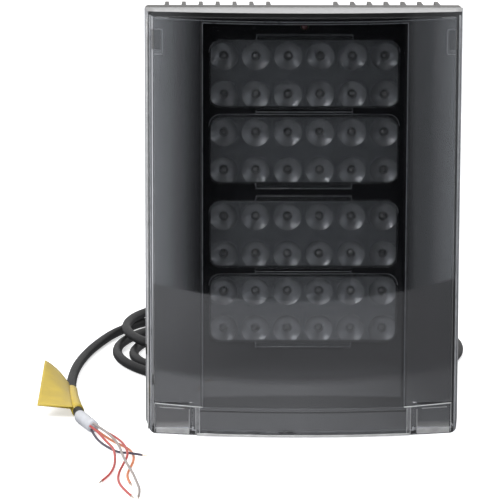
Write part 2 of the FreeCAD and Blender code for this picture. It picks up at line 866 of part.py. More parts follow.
def bracket_mount():
    rear = mount_y + mount_pad_thick
    half_w, half_h = mount_pad_width / 2, mount_pad_height / 2
    pad = rounded_plate(-half_w, half_w, mount_y, rear, bracket_z - half_h, bracket_z + half_h, mount_pad_r)
    neck = block(-neck_half_x, neck_half_x, rear, tilt_y, bracket_z - neck_half_z, bracket_z + neck_half_z)
    side = Vector(neck_half_x, tilt_y, bracket_z)
    ears = rod(ear_r, side - X * 2 * neck_half_x, side)
    slot_half = lug_half_width + ear_gap
    slot = block(
        -slot_half, slot_half, tilt_y - slot_depth, tilt_y + 2 * ear_r,
        bracket_z - 2 * neck_half_z, bracket_z + 2 * neck_half_z,
    )
    trim = block(
        -width, width, tilt_y - slot_depth / 3, tilt_y + ear_r,
        bracket_z - 2 * neck_half_z, bracket_z + 2 * neck_half_z,
    ).cut(block(-width, width, tilt_y - slot_depth, tilt_y + ear_r, bracket_z - ear_r, bracket_z + ear_r))
    solid = fused([pad, neck.cut(trim), ears]).cut(slot)
    bore = rod(pivot_r + pivot_gap, side - X * 2 * neck_half_x, side)
    holes = [
        rod(m5[0] + hole_gap, Vector(x, mount_y, z), Vector(x, rear, z)) for x, z in mount_screw_points()
    ]
    seats = [
        rod(m5[1] + hole_gap, Vector(x, rear, z), Vector(x, rear + m5[2] + 1, z))
        for x, z in mount_screw_points()
    ]
    return solid.cut([bore] + holes + seats).removeSplitter()


def bracket_arm():
    tilt_lug = rod(ear_r, Vector(-lug_half_width, tilt_y, bracket_z), Vector(lug_half_width, tilt_y, bracket_z))
    pan_lug = rod(ear_r, Vector(0, pan_y, bracket_z - pan_lug_half), Vector(0, pan_y, bracket_z + pan_lug_half))
    shank = rounded(
        block(-arm_half_x, arm_half_x, tilt_y, pan_y, bracket_z - arm_half_z, bracket_z + arm_half_z),
        2.0,
        lambda edge: runs_along(edge, Y),
    )
    tilt_bore = rod(pivot_r + pivot_gap, Vector(-ear_r, tilt_y, bracket_z), Vector(ear_r, tilt_y, bracket_z))
    pan_bore = rod(pivot_r + pivot_gap, Vector(0, pan_y, bracket_z - 2 * ear_r), Vector(0, pan_y, bracket_z + 2 * ear_r))
    return fused([tilt_lug, pan_lug, shank]).cut([tilt_bore, pan_bore]).removeSplitter()


def wall_foot():
    plate = rounded_plate(
        -foot_half_x, foot_half_x, foot_y, back_y, bracket_z - foot_half_z, bracket_z + foot_half_z, foot_corner_r,
    )
    outer = pan_lug_half + ear_gap + foot_ear_thick
    ears = fused([
        rod(ear_r, Vector(0, pan_y, bracket_z - outer), Vector(0, pan_y, bracket_z + outer)),
        block(-ear_r, ear_r, pan_y, foot_y, bracket_z - outer, bracket_z + outer),
    ])
    slot_half = pan_lug_half + ear_gap
    slot = block(
        -2 * ear_r, 2 * ear_r, pan_y - 2 * ear_r, pan_y + ear_r + foot_web_gap,
        bracket_z - slot_half, bracket_z + slot_half,
    )
    bore = rod(pivot_r + pivot_gap, Vector(0, pan_y, bracket_z - outer), Vector(0, pan_y, bracket_z + outer))
    holes = [
        rod(foot_hole_r, Vector(sx * foot_hole_x, foot_y, bracket_z + sz * foot_hole_z),
            Vector(sx * foot_hole_x, back_y, bracket_z + sz * foot_hole_z))
        for sx in (-1, 1) for sz in (-1, 1)
    ]
    return fused([plate, ears.cut(slot)]).cut([bore] + holes).removeSplitter()


def pivot_bolt(grip):
    """A shouldered pivot bolt along +z: a round head with a socket, then the shank and its end."""
    end = bolt_head_thick + grip + bolt_head_thick + 1.5
    head = rod(bolt_head_r, Vector(0, 0, 0), Vector(0, 0, bolt_head_thick))
    shank = rod(pivot_r, Vector(0, 0, bolt_head_thick), Vector(0, 0, end))
    return fused([head, shank]).cut(hexagon(6.0, bolt_head_thick * 0.6))


def pivot_nut():
    """A flanged nut along +z, its flange at z = 0."""
    flange = rod(bolt_head_r, Vector(0, 0, 0), Vector(0, 0, 1.6))
    body = hexagon(bolt_nut_hex, bolt_head_thick)
    return fused([flange, body]).cut(rod(pivot_r + thread_gap, Vector(0, 0, 0), Vector(0, 0, bolt_head_thick)))


def tilt_bolt():
    return aimed(pivot_bolt(2 * neck_half_x), Vector(neck_half_x + bolt_head_thick, tilt_y, bracket_z), -X)


def tilt_nut():
    return aimed(pivot_nut(), Vector(-neck_half_x, tilt_y, bracket_z), -X)


def pan_bolt():
    outer = pan_lug_half + ear_gap + foot_ear_thick
    return aimed(pivot_bolt(2 * outer), Vector(0, pan_y, bracket_z + outer + bolt_head_thick), -Z)


def pan_nut():
    outer = pan_lug_half + ear_gap + foot_ear_thick
    return aimed(pivot_nut(), Vector(0, pan_y, bracket_z - outer), -Z)


# Gland and the wiring inside


def gland_axis(y):
    return Vector(0, y, gland_z)


def gland_body():
    hexagon_end = gland_seat_y + gland_hex_thick
    head = aimed(hexagon(gland_hex, gland_hex_thick), gland_axis(gland_seat_y), Y)
    barrel = rod(gland_barrel_r, gland_axis(hexagon_end), gland_axis(hexagon_end + gland_barrel))
    thread = rod(gland_thread_r, gland_axis(base_y - locknut_thick - 0.5), gland_axis(gland_seat_y))
    bore = rod(
        cable_r + gland_bore_gap, gland_axis(base_y - locknut_thick - 1), gland_axis(hexagon_end + gland_barrel),
    )
    seat = rod(
        seal_r + gland_bore_gap, gland_axis(hexagon_end + gland_barrel - seal_depth),
        gland_axis(hexagon_end + gland_barrel),
    )
    return fused([head, barrel, thread]).cut([bore, seat])


def gland_locknut():
    nut = aimed(hexagon(locknut_hex, locknut_thick), gland_axis(base_y - locknut_thick), Y)
    return nut.cut(rod(gland_thread_r + thread_gap, gland_axis(base_y - locknut_thick), gland_axis(base_y)))


def gland_seal():
    start = gland_seat_y + gland_hex_thick + gland_barrel - seal_depth
    ring = rod(seal_r, gland_axis(start), gland_axis(start + seal_length))
    return ring.cut(rod(cable_r + thread_gap, gland_axis(start), gland_axis(start + seal_length)))


def gland_nut():
    dome_y = gland_nut_y + nut_hex_length
    grip = aimed(hexagon(gland_hex, nut_hex_length), gland_axis(gland_nut_y), Y)
    dome = taper(gland_hex / 2, nut_dome_r, gland_axis(dome_y), gland_axis(boot_y))
    seal_end = gland_seat_y + gland_hex_thick + gland_barrel - seal_depth + seal_length
    room = rod(gland_barrel_r + gland_bore_gap, gland_axis(gland_nut_y), gland_axis(seal_end))
    bore = rod(cable_r + 5 * gland_bore_gap, gland_axis(gland_nut_y), gland_axis(boot_y))
    return fused([grip, dome]).cut([room, bore])


def strain_boot():
    """A tapered rubber sleeve with five relief grooves, seated on the end of the gland nut."""
    sleeve = taper(boot_root_r, boot_tip_r, gland_axis(boot_y), gland_axis(cable_exit_y))
    bore = rod(cable_r + thread_gap, gland_axis(boot_y), gland_axis(cable_exit_y))
    grooves = []
    for k in range(5):
        start = boot_y + boot_length * (k + 0.7) / 5.6
        ring = rod(boot_root_r + 1, gland_axis(start), gland_axis(start + 1.2))
        grooves.append(ring.cut(rod(cable_r + 0.7, gland_axis(start), gland_axis(start + 1.2))))
    return sleeve.cut([bore] + grooves)


def cable_inner_end():
    """The cable's end inside the gland and its three cores, run to the terminal block."""
    stub_start = base_y - locknut_thick - 0.5
    pieces = [rod(cable_r, gland_axis(stub_start), gland_axis(cable_exit_y))]
    top = driver_bottom + block_edge + block_height
    for k, drop in enumerate(supply_core_drops):
        x_end = terminal_x(k)
        lane_y = driver_y - supply_lane_gap - supply_lane_pitch * k
        route = [
            Vector(supply_core_pitch * (k - 1), stub_start, gland_z + drop),
            Vector(supply_core_pitch * (k - 1), lane_y, gland_z + drop),
            Vector(x_end, lane_y, gland_z + drop + 1.0),
            Vector(x_end, lane_y, top),
        ]
        pieces.append(route_tube(route, core_r, 0.45))
    return Part.makeCompound(pieces)


def led_wires():
    """Two wires that climb from the driver board and branch to each light board."""
    lane_y = board_y - led_connector[1] / 2
    low = (driver_bottom + driver_top) / 2
    wires = []
    for k in range(2):
        x = -board_width / 2 - led_wire_gap - led_wire_pitch * k
        offset = led_wire_half_gap * (2 * k - 1)
        top = module_z[0] - led_drop + offset
        start, end = Vector(x, lane_y, low + offset), Vector(x, lane_y, top)
        pieces = [rod(led_wire_r, start, end)]
        pieces += [Part.makeSphere(led_wire_r, corner) for corner in (start, end)]
        for z in module_z:
            tee = Vector(x, lane_y, z - led_drop + offset)
            pieces.append(rod(led_wire_r, tee, Vector(-board_width / 2, tee.y, tee.z)))
        pieces.append(rod(led_wire_r, start, Vector(-driver_half, lane_y, low + offset)))
        wires.append(fused(pieces))
    return Part.makeCompound(wires)


# Cable


def route_edges(points, share):
    """Straight runs joined by tangent arcs. Each arc takes the same share of its shorter run."""
    edges, start, radii = [], points[0], []
    for before, corner, after in zip(points, points[1:], points[2:]):
        run_in, run_out = corner - before, after - corner
        cut = share * min(run_in.Length, run_out.Length)
        way_in, way_out = Vector(run_in).normalize(), Vector(run_out).normalize()
        half_turn = way_in.getAngle(way_out) / 2
        radius = cut / math.tan(half_turn)
        enter, leave = corner - way_in * cut, corner + way_out * cut
        chord_middle = (enter + leave) * 0.5
        inward = Vector(chord_middle - corner).normalize()
        apex = corner + inward * (radius / math.cos(half_turn) - radius)
        edges.append(Part.LineSegment(start, enter).toShape())
        edges.append(Part.Arc(enter, apex, leave).toShape())
        start = leave
        radii.append(radius)
    edges.append(Part.LineSegment(start, points[-1]).toShape())
    return edges, radii


def route_tube(points, radius, share):
    edges, radii = route_edges(points, share)
    spine = Part.Wire(edges)
    way = Vector(points[1] - points[0]).normalize()
    section = Part.Wire([Part.makeCircle(radius, points[0], way)])
    tube = spine.makePipeShell([section], True, False)
    expected = math.pi * radius ** 2 * spine.Length
    print(f"tube r {radius}: length {spine.Length:.1f}, volume over expected {tube.Volume / expected:.4f}, "
          f"least bend {min(radii):.1f}, solids {len(tube.Solids)}, valid {tube.isValid()}")
    return tube


def lead_points():
    return [
        gland_axis(cable_exit_y),
        gland_axis(cable_exit_y + 11),
        Vector(1.5, cable_exit_y + 23, gland_z - 3.2),
        Vector(6.0, cable_exit_y + 34, gland_z - 8.2),
        Vector(13.5, cable_exit_y + 44, gland_z - 11.6),
        Vector(21.5, cable_exit_y + 52, gland_z - 13.2),
    ]


tail_points = [
    Vector(-102.0, 291.0, cable_rest),
    Vector(-114.5, 266.0, cable_rest),
    Vector(-123.0, 237.0, cable_rest),
    Vector(-130.5, 203.0, cable_rest),
    Vector(-135.8, 163.0, cable_rest + 0.1),
    Vector(-137.2, 114.0, flag_r + 0.02),
    Vector(-134.0, 67.0, flag_r + 0.02),
    Vector(-127.6, 26.5, sleeve_r + 0.05),
]
sleeve_way = Vector(8.1, -23.9, 0).normalize()

# Each core's route after the sleeve: the ends lie in front of the unit
core_routes = {
    "core_wire_black": [
        Vector(-118.4, -10.5, 1.4), Vector(-114.2, -24.0, 0.8), Vector(-109.0, -36.0, 0.8),
        Vector(-103.9, -46.0, 1.0), Vector(-98.0, -52.5, 2.5), Vector(-90.5, -57.5, 2.5),
    ],
    "core_wire_red_left": [
        Vector(-116.8, -9.5, 4.2), Vector(-111.6, -26.5, 2.6), Vector(-107.2, -41.0, 2.5),
        Vector(-105.8, -55.0, 2.4), Vector(-105.4, -70.0, 1.0), Vector(-106.3, -84.0, 0.8),
        Vector(-108.4, -97.0, 0.8), Vector(-111.5, -107.0, 0.8),
    ],
    "core_wire_red_right": [
        Vector(-112.6, -9.0, 4.0), Vector(-106.8, -21.0, 4.0), Vector(-102.2, -34.0, 3.9),
        Vector(-99.6, -48.0, 3.9), Vector(-98.4, -62.0, 3.6), Vector(-100.6, -77.0, 2.4),
        Vector(-103.0, -92.0, 1.0), Vector(-102.8, -108.0, 0.8), Vector(-99.6, -124.0, 0.8),
        Vector(-95.0, -138.0, 0.8),
    ],
    "core_wire_orange": [
        Vector(-112.6, -9.5, 1.2), Vector(-106.0, -23.0, 0.8), Vector(-98.6, -36.0, 0.8),
        Vector(-95.4, -51.0, 0.8), Vector(-95.4, -66.0, 0.8), Vector(-97.2, -82.0, 0.8),
        Vector(-98.6, -99.0, 0.8), Vector(-96.0, -113.0, 0.8),
    ],
    "core_wire_grey": [
        Vector(-115.0, -9.0, 6.0), Vector(-109.2, -24.0, 5.6), Vector(-104.6, -39.0, 4.6),
        Vector(-102.4, -54.0, 4.2), Vector(-101.0, -69.0, 4.6), Vector(-98.4, -84.0, 4.2),
        Vector(-95.0, -98.0, 2.8), Vector(-92.4, -112.0, 0.8), Vector(-90.6, -126.0, 0.8),
        Vector(-91.2, -139.0, 0.8),
    ],
}
core_start_angle = {
    "core_wire_black": 310.0,
    "core_wire_red_left": 20.0,
    "core_wire_grey": 90.0,
    "core_wire_red_right": 160.0,
    "core_wire_orange": 232.0,
}


def cable_lead():
    return route_tube(lead_points(), cable_r, 0.45)


def cable_tail():
    return route_tube(tail_points, cable_r, 0.45)


def cable_coil():
    """The outer shape of the loose turns behind the unit: a low ring with an open middle."""
    sides = Part.makePolygon([
        coil_near - X * coil_near_r,
        coil_far - X * coil_far_r,
        coil_far + X * coil_far_r,
        coil_near + X * coil_near_r,
        coil_near - X * coil_near_r,
    ])
    ring = fused([
        rod(coil_near_r, coil_near, coil_near + Z * coil_height),
        rod(coil_far_r, coil_far, coil_far + Z * coil_height),
        Part.Face(sides).extrude(Z * coil_height),
    ])
    return ring.cut(rod(coil_hole_r, coil_hole, coil_hole + Z * coil_height))


def sleeve_end():
    return tail_points[-1] + sleeve_way * sleeve_length


def cable_end_sleeve():
    start = tail_points[-1]
    return rod(sleeve_r, start, sleeve_end())


def core_wire(name):
    angle = math.radians(core_start_angle[name])
    across = sleeve_way.cross(Z)
    start = sleeve_end() + sleeve_way * core_gap
    start += across * (core_circle_r * math.cos(angle)) + Z * (core_circle_r * math.sin(angle))
    return route_tube([start] + core_routes[name], core_r, 0.45)


def flag_leaf(far_inner, far_tip, near_inner, near_tip):
    """A thin sheet between two edges that lead away from the cable."""
    outlines = []
    for inner, tip in ((far_inner, far_tip), (near_inner, near_tip)):
        rise = Vector(tip - inner).cross(Y).normalize() * (flag_sheet / 2)
        outlines.append(Part.makePolygon([inner + rise, tip + rise, tip - rise, inner - rise, inner + rise]))
    return Part.makeLoft(outlines, True, True)


def cable_flag():
    """A label folded round the cable. Its two leaves meet at a far corner that stands off the floor."""
    wrap = route_tube(tail_points, flag_r, 0.45).common(
        block(-width, 0, flag_near_y, flag_far_y, 0, 3 * flag_r)
    )
    far_y, near_y = flag_far_y - flag_inset, flag_near_y + flag_inset
    far_tip, near_tip = Vector(-151.6, far_y, 21.5), Vector(-153.6, near_y + 0.5, 6.8)
    near_inner = Vector(-132.2, near_y, 4.8)
    lower = flag_leaf(Vector(-139.4, far_y, 3.2), far_tip, near_inner, near_tip)
    upper = flag_leaf(Vector(-137.6, far_y, 6.6), far_tip, near_inner + Z * 1.4, near_tip + Z * 0.3)
    return fused([wrap, lower, upper]).cut(cable_tail())


# Export


def all_nodes():
    nodes = {
        "heat_sink_housing": heat_sink_housing(),
        "front_cover": front_cover(),
        "cover_gasket": cover_gasket(),
        "front_mask": front_mask(),
        "insert_frame": insert_frame(),
        "thermal_pads": thermal_pads(),
        "led_board_screws": led_board_screws(),
        "cover_screws": cover_screws(),
        "cover_screw_seals": cover_screw_seals(),
        "driver_board": driver_board(),
        "driver_screws": driver_screws(),
        "capacitors": capacitors(),
        "chokes": chokes(),
        "control_chips": control_chips(),
        "terminal_block": terminal_block(),
        "photocell_board": photocell_board(),
        "photocell": photocell(),
        "led_wires": led_wires(),
        "cable_inner_end": cable_inner_end(),
        "gland_body": gland_body(),
        "gland_locknut": gland_locknut(),
        "gland_seal": gland_seal(),
        "gland_nut": gland_nut(),
        "strain_boot": strain_boot(),
        "bracket_mount": bracket_mount(),
        "bracket_screws": bracket_screws(),
        "bracket_arm": bracket_arm(),
        "wall_foot": wall_foot(),
        "tilt_bolt": tilt_bolt(),
        "tilt_nut": tilt_nut(),
        "pan_bolt": pan_bolt(),
        "pan_nut": pan_nut(),
        "cable_lead": cable_lead(),
        "cable_coil": cable_coil(),
        "cable_tail": cable_tail(),
        "cable_flag": cable_flag(),
        "cable_end_sleeve": cable_end_sleeve(),
    }
    for number, (centre_z, up) in enumerate(zip(module_z, tab_up), start=1):
        nodes[f"lens_insert_{number}"] = lens_insert(centre_z, up)
        nodes[f"collimator_array_{number}"] = collimator_array(centre_z)
        nodes[f"led_board_{number}"] = led_board(centre_z)
        nodes[f"led_emitters_{number}"] = led_emitters(centre_z)
    for name in core_routes:
        nodes[name] = core_wire(name)
    return nodes


def main():
    os.makedirs("parts", exist_ok=True)
    for name, shape in all_nodes().items():
        placed = shape.copy()
        placed.translate(frame_shift)
        if not placed.isValid() or not placed.Solids:
            print(f"{name}: not a valid solid")
        placed.exportStep(f"parts/{name}.step")
    print(f"frame shift {frame_shift.y:.2f}, depth {back_y + front_bulge:.1f}")


main()
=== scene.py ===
"""Looks for the security illuminator: materials, its free cable with the label and the core wires,
the light cups behind the lens inserts, the fine lines of the front, most of them painted highlights
and painted light, and a plain studio.
Places are given in millimetres, measured from the cover's rim plane as in the part's source, and
at() turns them into metres in the shared frame.
"""

import json
import math

import bmesh
import bpy
from mathutils import Matrix, Vector


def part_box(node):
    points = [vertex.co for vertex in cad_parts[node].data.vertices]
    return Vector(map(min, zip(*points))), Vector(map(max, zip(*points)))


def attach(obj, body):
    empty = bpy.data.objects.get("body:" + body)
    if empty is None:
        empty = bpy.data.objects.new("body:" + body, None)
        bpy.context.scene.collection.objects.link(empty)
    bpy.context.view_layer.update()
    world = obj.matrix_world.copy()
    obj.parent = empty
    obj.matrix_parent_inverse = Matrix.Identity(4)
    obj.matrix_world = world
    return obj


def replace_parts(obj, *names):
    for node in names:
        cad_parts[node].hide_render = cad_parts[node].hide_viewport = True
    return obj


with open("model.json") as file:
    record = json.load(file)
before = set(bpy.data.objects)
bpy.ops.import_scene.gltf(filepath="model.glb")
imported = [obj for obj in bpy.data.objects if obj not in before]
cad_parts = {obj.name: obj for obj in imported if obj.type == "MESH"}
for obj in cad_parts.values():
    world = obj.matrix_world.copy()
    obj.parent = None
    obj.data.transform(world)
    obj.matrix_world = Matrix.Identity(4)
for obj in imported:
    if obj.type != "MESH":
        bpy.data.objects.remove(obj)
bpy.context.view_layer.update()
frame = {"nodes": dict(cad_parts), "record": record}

MM = 0.001
SKIRT_DEPTH = 23.0
RIM_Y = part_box("cover_gasket")[0].y - SKIRT_DEPTH * MM


def at(x, y, z):
    """A point in millimetres from the rim plane, in the shared frame."""
    return Vector((x * MM, y * MM + RIM_Y, z * MM))


def rim_y(y):
    """A y of the shared frame, back in millimetres from the rim plane."""
    return (y - RIM_Y) / MM


# Camera

CAMERA_AT = (-59.9, -1707.1, 420.4)
CAMERA_YAW = math.radians(0.987)
CAMERA_PITCH = math.radians(10.402)
CAMERA_ROLL = math.radians(0.156)
CAMERA_ANGLE = 2 * math.atan(250.0 / 3074.2)


def make_camera():
    data = bpy.data.cameras.new("camera")
    data.sensor_width = 36.0
    data.angle = CAMERA_ANGLE
    data.clip_start, data.clip_end = 0.05, 60.0
    camera = bpy.data.objects.new("camera", data)
    bpy.context.scene.collection.objects.link(camera)
    forward = Vector((
        math.sin(CAMERA_YAW) * math.cos(CAMERA_PITCH),
        math.cos(CAMERA_YAW) * math.cos(CAMERA_PITCH),
        -math.sin(CAMERA_PITCH),
    ))
    level = Vector((math.cos(CAMERA_YAW), -math.sin(CAMERA_YAW), 0.0))
    upright = level.cross(forward)
    right = level * math.cos(CAMERA_ROLL) + upright * math.sin(CAMERA_ROLL)
    up = upright * math.cos(CAMERA_ROLL) - level * math.sin(CAMERA_ROLL)
    turn = Matrix((right, up, -forward)).transposed().to_4x4()
    camera.matrix_world = Matrix.Translation(at(*CAMERA_AT)) @ turn
    bpy.context.scene.camera = camera


# Node helpers


class Nodes:
    """A node tree with short ways to add and join nodes."""

    def __init__(self, owner, output):
        owner.use_nodes = True
        self.tree = owner.node_tree
        self.tree.nodes.clear()
        self.output = self.add(output)

    def add(self, kind, inputs=None, **settings):
        """A node with its inputs, each given by name or number as a value or as a socket to join."""
        node = self.tree.nodes.new("ShaderNode" + kind)
        for key, value in settings.items():
            setattr(node, key, value)
        for key, value in (inputs or {}).items():
            if isinstance(value, bpy.types.NodeSocket):
                self.tree.links.new(value, node.inputs[key])
            else:
                node.inputs[key].default_value = value
        return node

    def surface(self, socket):
        self.tree.links.new(socket, self.output.inputs["Surface"])

    def split(self, socket):
        return self.add("SeparateXYZ", {"Vector": socket}).outputs

    def noise(self, scale, detail=4.0, roughness=0.55, stretch=(1, 1, 1)):
        place = self.add("TexCoord").outputs["Object"]
        stretched = self.add("Mapping", {"Scale": stretch, "Vector": place}).outputs["Vector"]
        values = {"Scale": scale, "Detail": detail, "Roughness": roughness, "Vector": stretched}
        return self.add("TexNoise", values).outputs["Fac"]

    def ramp(self, fac, low, high, low_at=0.3, high_at=0.7):
        ramp = self.add("ValToRGB", {"Fac": fac})
        first, last = ramp.color_ramp.elements
        first.position, last.position = low_at, high_at
        first.color, last.color = (*low, 1), (*high, 1)
        return ramp.outputs["Color"]

    def remap(self, fac, low, high, from_low=0.3, from_high=0.7):
        values = {"Value": fac, "From Min": from_low, "From Max": from_high, "To Min": low, "To Max": high}
        return self.add("MapRange", values).outputs["Result"]

    def bump(self, height, strength, distance):
        values = {"Strength": strength, "Distance": distance, "Height": height}
        return self.add("Bump", values).outputs["Normal"]

    def mix_colours(self, share, low, high):
        return self.add("Mix", {0: share, 6: low, 7: high}, data_type="RGBA").outputs[2]

    def mix_values(self, share, low, high):
        return self.add("Mix", {0: share, 2: low, 3: high}, data_type="FLOAT").outputs[0]

    def mix_shaders(self, share, low, high):
        return self.add("MixShader", {0: share, 1: low, 2: high}).outputs["Shader"]

    def light_path(self, ray):
        return self.add("LightPath").outputs[f"Is {ray} Ray"]


class Coat(Nodes):
    """The node tree of a new material."""

    def __init__(self, name):
        self.material = bpy.data.materials.new(name)
        super().__init__(self.material, "OutputMaterial")

    def principled(self, inputs):
        return self.add("BsdfPrincipled", inputs).outputs["BSDF"]

    def finish(self, shader):
        self.surface(shader)
        return self.material


GRAIN_DEPTH = 0.00004


def tint(colour, share):
    return tuple(min(1.0, c * share) for c in colour)


def grained(
    name, colour, roughness, metallic=0.0, spread=0.18, scale=90.0, grain=900.0, bump=0.25, coat=0.0,
):
    """Opaque surface with a slow change of colour, an uneven gloss and a fine grain."""
    n = Coat(name)
    slow = n.noise(scale)
    return n.finish(n.principled({
        "Base Color": n.ramp(slow, tint(colour, 1 - spread), tint(colour, 1 + spread)),
        "Metallic": metallic,
        "Roughness": n.remap(slow, roughness * 0.85, roughness * 1.15),
        "Coat Weight": coat,
        "Coat Roughness": 0.12,
        "Normal": n.bump(n.noise(grain, 3.0), bump, GRAIN_DEPTH),
    }))


def see_through(name, colour, roughness, ior, haze=0.0, haze_colour=(0.5, 0.5, 0.5), cloud=60.0):
    """Clear moulding that lets the lamps through, with an optional milky share."""
    n = Coat(name)
    slow = n.noise(cloud)
    body = n.principled({
        "Base Color": n.ramp(slow, tint(colour, 0.985), colour),
        "Roughness": n.remap(slow, roughness * 0.85, roughness * 1.2),
        "IOR": ior,
        "Transmission Weight": 1.0,
    })
    if haze:
        milk_colour = n.ramp(slow, tint(haze_colour, 0.9), tint(haze_colour, 1.1))
        body = n.mix_shaders(haze, body, n.principled({"Base Color": milk_colour, "Roughness": 0.6}))
    clear = n.add("BsdfTransparent", {"Color": (*tint(colour, 0.93), 1)}).outputs["BSDF"]
    return n.finish(n.mix_shaders(n.light_path("Shadow"), body, clear))


def brushed(name, colour, roughness, stretch):
    """Metal with fine lines along one direction."""
    n = Coat(name)
    lines = n.noise(700.0, 5.0, 0.6, stretch)
    return n.finish(n.principled({
        "Base Color": n.ramp(lines, tint(colour, 0.8), tint(colour, 1.15)),
        "Metallic": 1.0,
        "Roughness": n.remap(lines, roughness * 0.8, roughness * 1.25),
        "Normal": n.bump(lines, 0.2, 0.00003),
    }))


def paint_material():
    """Dark powder coat with orange-peel grain and slightly rubbed edges."""
    n = Coat("housing_coat")
    fine = n.noise(1500.0, 3.0)
    base = n.ramp(n.noise(40.0), (0.050, 0.048, 0.045), (0.072, 0.069, 0.064))
    rubbed = n.remap(n.add("NewGeometry").outputs["Pointiness"], 0.0, 0.35, 0.52, 0.62)
    return n.finish(n.principled({
        "Base Color": n.mix_colours(rubbed, base, (0.13, 0.127, 0.12, 1)),
        "Roughness": n.remap(fine, 0.42, 0.6),
        "Normal": n.bump(fine, 0.35, 0.00005),
    }))


def cable_material():
    """Black jacket, a little uneven in colour, with dust in the grain."""
    n = Coat("cable_jacket")
    fine = n.noise(1100.0, 4.0)
    return n.finish(n.principled({
        "Base Color": n.ramp(n.noise(55.0), (0.013, 0.013, 0.0135), (0.024, 0.024, 0.0245)),
        "Specular IOR Level": 0.12,
        "Roughness": n.remap(fine, 0.40, 0.55),
        "Normal": n.bump(fine, 0.25, 0.00004),
    }))


def label_material():
    """Yellow film: slightly uneven colour, soft creases and a satin face."""
    n = Coat("label_film")
    slow, creases = n.noise(120.0, 5.0), n.noise(260.0, 2.0, 0.4, (1.0, 0.35, 1.0))
    return n.finish(n.principled({
        "Base Color": n.ramp(slow, (0.49, 0.345, 0.026), (0.59, 0.43, 0.040)),
        "Roughness": n.remap(slow, 0.38, 0.5),
        "Coat Weight": 0.15,
        "Coat Roughness": 0.3,
        "Normal": n.bump(creases, 0.3, 0.0003),
    }))


def laminate_material():
    """Green board with fine tracks."""
    n = Coat("board_laminate")
    tracks = n.add("TexBrick", {
        "Scale": 260.0,
        "Mortar Size": 0.035,
        "Color1": (0.02, 0.13, 0.06, 1),
        "Color2": (0.03, 0.16, 0.075, 1),
        "Mortar": (0.05, 0.26, 0.12, 1),
        "Vector": n.add("TexCoord").outputs["Object"],
    })
    return n.finish(n.principled({
        "Base Color": tracks.outputs["Color"],
        "Roughness": 0.35,
        "Normal": n.bump(n.noise(700.0), 0.15, 0.00003),
    }))


def chamber_material(name, colour, foot):
    """Metal behind a clear chamber: even above, with a painted reflection of the white floor that makes it
    paler towards the foot, and fine casting grain.
    """
    n = Coat(name)
    height = n.split(n.add("TexCoord").outputs["Object"])["Z"]
    # Painted reflection of the white floor: the colour turns pale below about 7 mm
    floor_reflection_share = n.remap(height, 1.0, 0.0, 0.003, 0.0072)
    uneven = n.add("Math", {0: n.noise(240.0), 1: 0.25, 2: floor_reflection_share}, operation="MULTIPLY_ADD")
    return n.finish(n.principled({
        "Base Color": n.ramp(uneven.outputs[0], colour, foot, 0.15, 1.0),
        "Roughness": 0.5,
        "Normal": n.bump(n.noise(900.0), 0.3, 0.00004),
    }))


def twisted_core(name, colour):
    """Insulated core with a slightly waxy sheen."""
    return grained(name, colour, 0.4, spread=0.12, scale=300.0, grain=1500.0, bump=0.15, coat=0.2)


MATERIALS = {}
# Bevels in millimetres for the edges that catch the light
SOFT_EDGES = {
    "front_cover": 0.5, "front_mask": 0.2, "insert_frame": 0.3, "lens_insert_1": 0.3, "lens_insert_2": 0.3,
    "lens_insert_3": 0.3, "lens_insert_4": 0.3, "heat_sink_housing": 0.3, "bracket_mount": 0.4,
    "bracket_arm": 0.5, "wall_foot": 0.5, "gland_body": 0.3, "gland_nut": 0.4,
}
# Pieces behind the lens inserts that look darker than the rest of their slot
DARKER = {"led_board_screws": "plate_black"}
# Coats of the fine pieces that the scene alone has: colour, roughness, scale of their slow change
FINE_COATS = {
    "plate_black": ((0.010, 0.011, 0.013), 0.4, 200.0),
    # Painted highlight lines along the edges of the mask's window, the inserts and the clips
    "mask_highlight": ((0.07, 0.073, 0.079), 0.3, 300.0),
    "insert_highlight": ((0.075, 0.078, 0.084), 0.3, 300.0),
    "clip_highlight": ((0.09, 0.093, 0.10), 0.3, 300.0),
    "groove": ((0.002, 0.002, 0.0025), 0.7, 200.0),
    # Painted light in and on the clear cover: highlight lines on its ribs and edges, grey rib faces, and
    # floor light in its foot and its chambers' feet
    "rib_highlight": ((0.30, 0.30, 0.30), 0.3, 300.0),
    "rib_face_light": ((0.12, 0.12, 0.12), 0.3, 200.0),
    "chamber_top_highlight": ((0.60, 0.60, 0.59), 0.3, 200.0),
    "side_highlight": ((0.25, 0.253, 0.262), 0.3, 200.0),
    "rim_highlight": ((0.50, 0.50, 0.49), 0.3, 200.0),
    "foot_highlight": ((0.46, 0.46, 0.45), 0.4, 120.0),
    "chamber_foot_light": ((0.36, 0.355, 0.345), 0.4, 200.0),
    "foot_light_band": ((0.045, 0.046, 0.048), 0.3, 200.0),
}


def gloss(name, colour, roughness, **more):
    """Moulded plastic with hardly any grain."""
    return grained(name, colour, roughness, grain=500.0, **more)


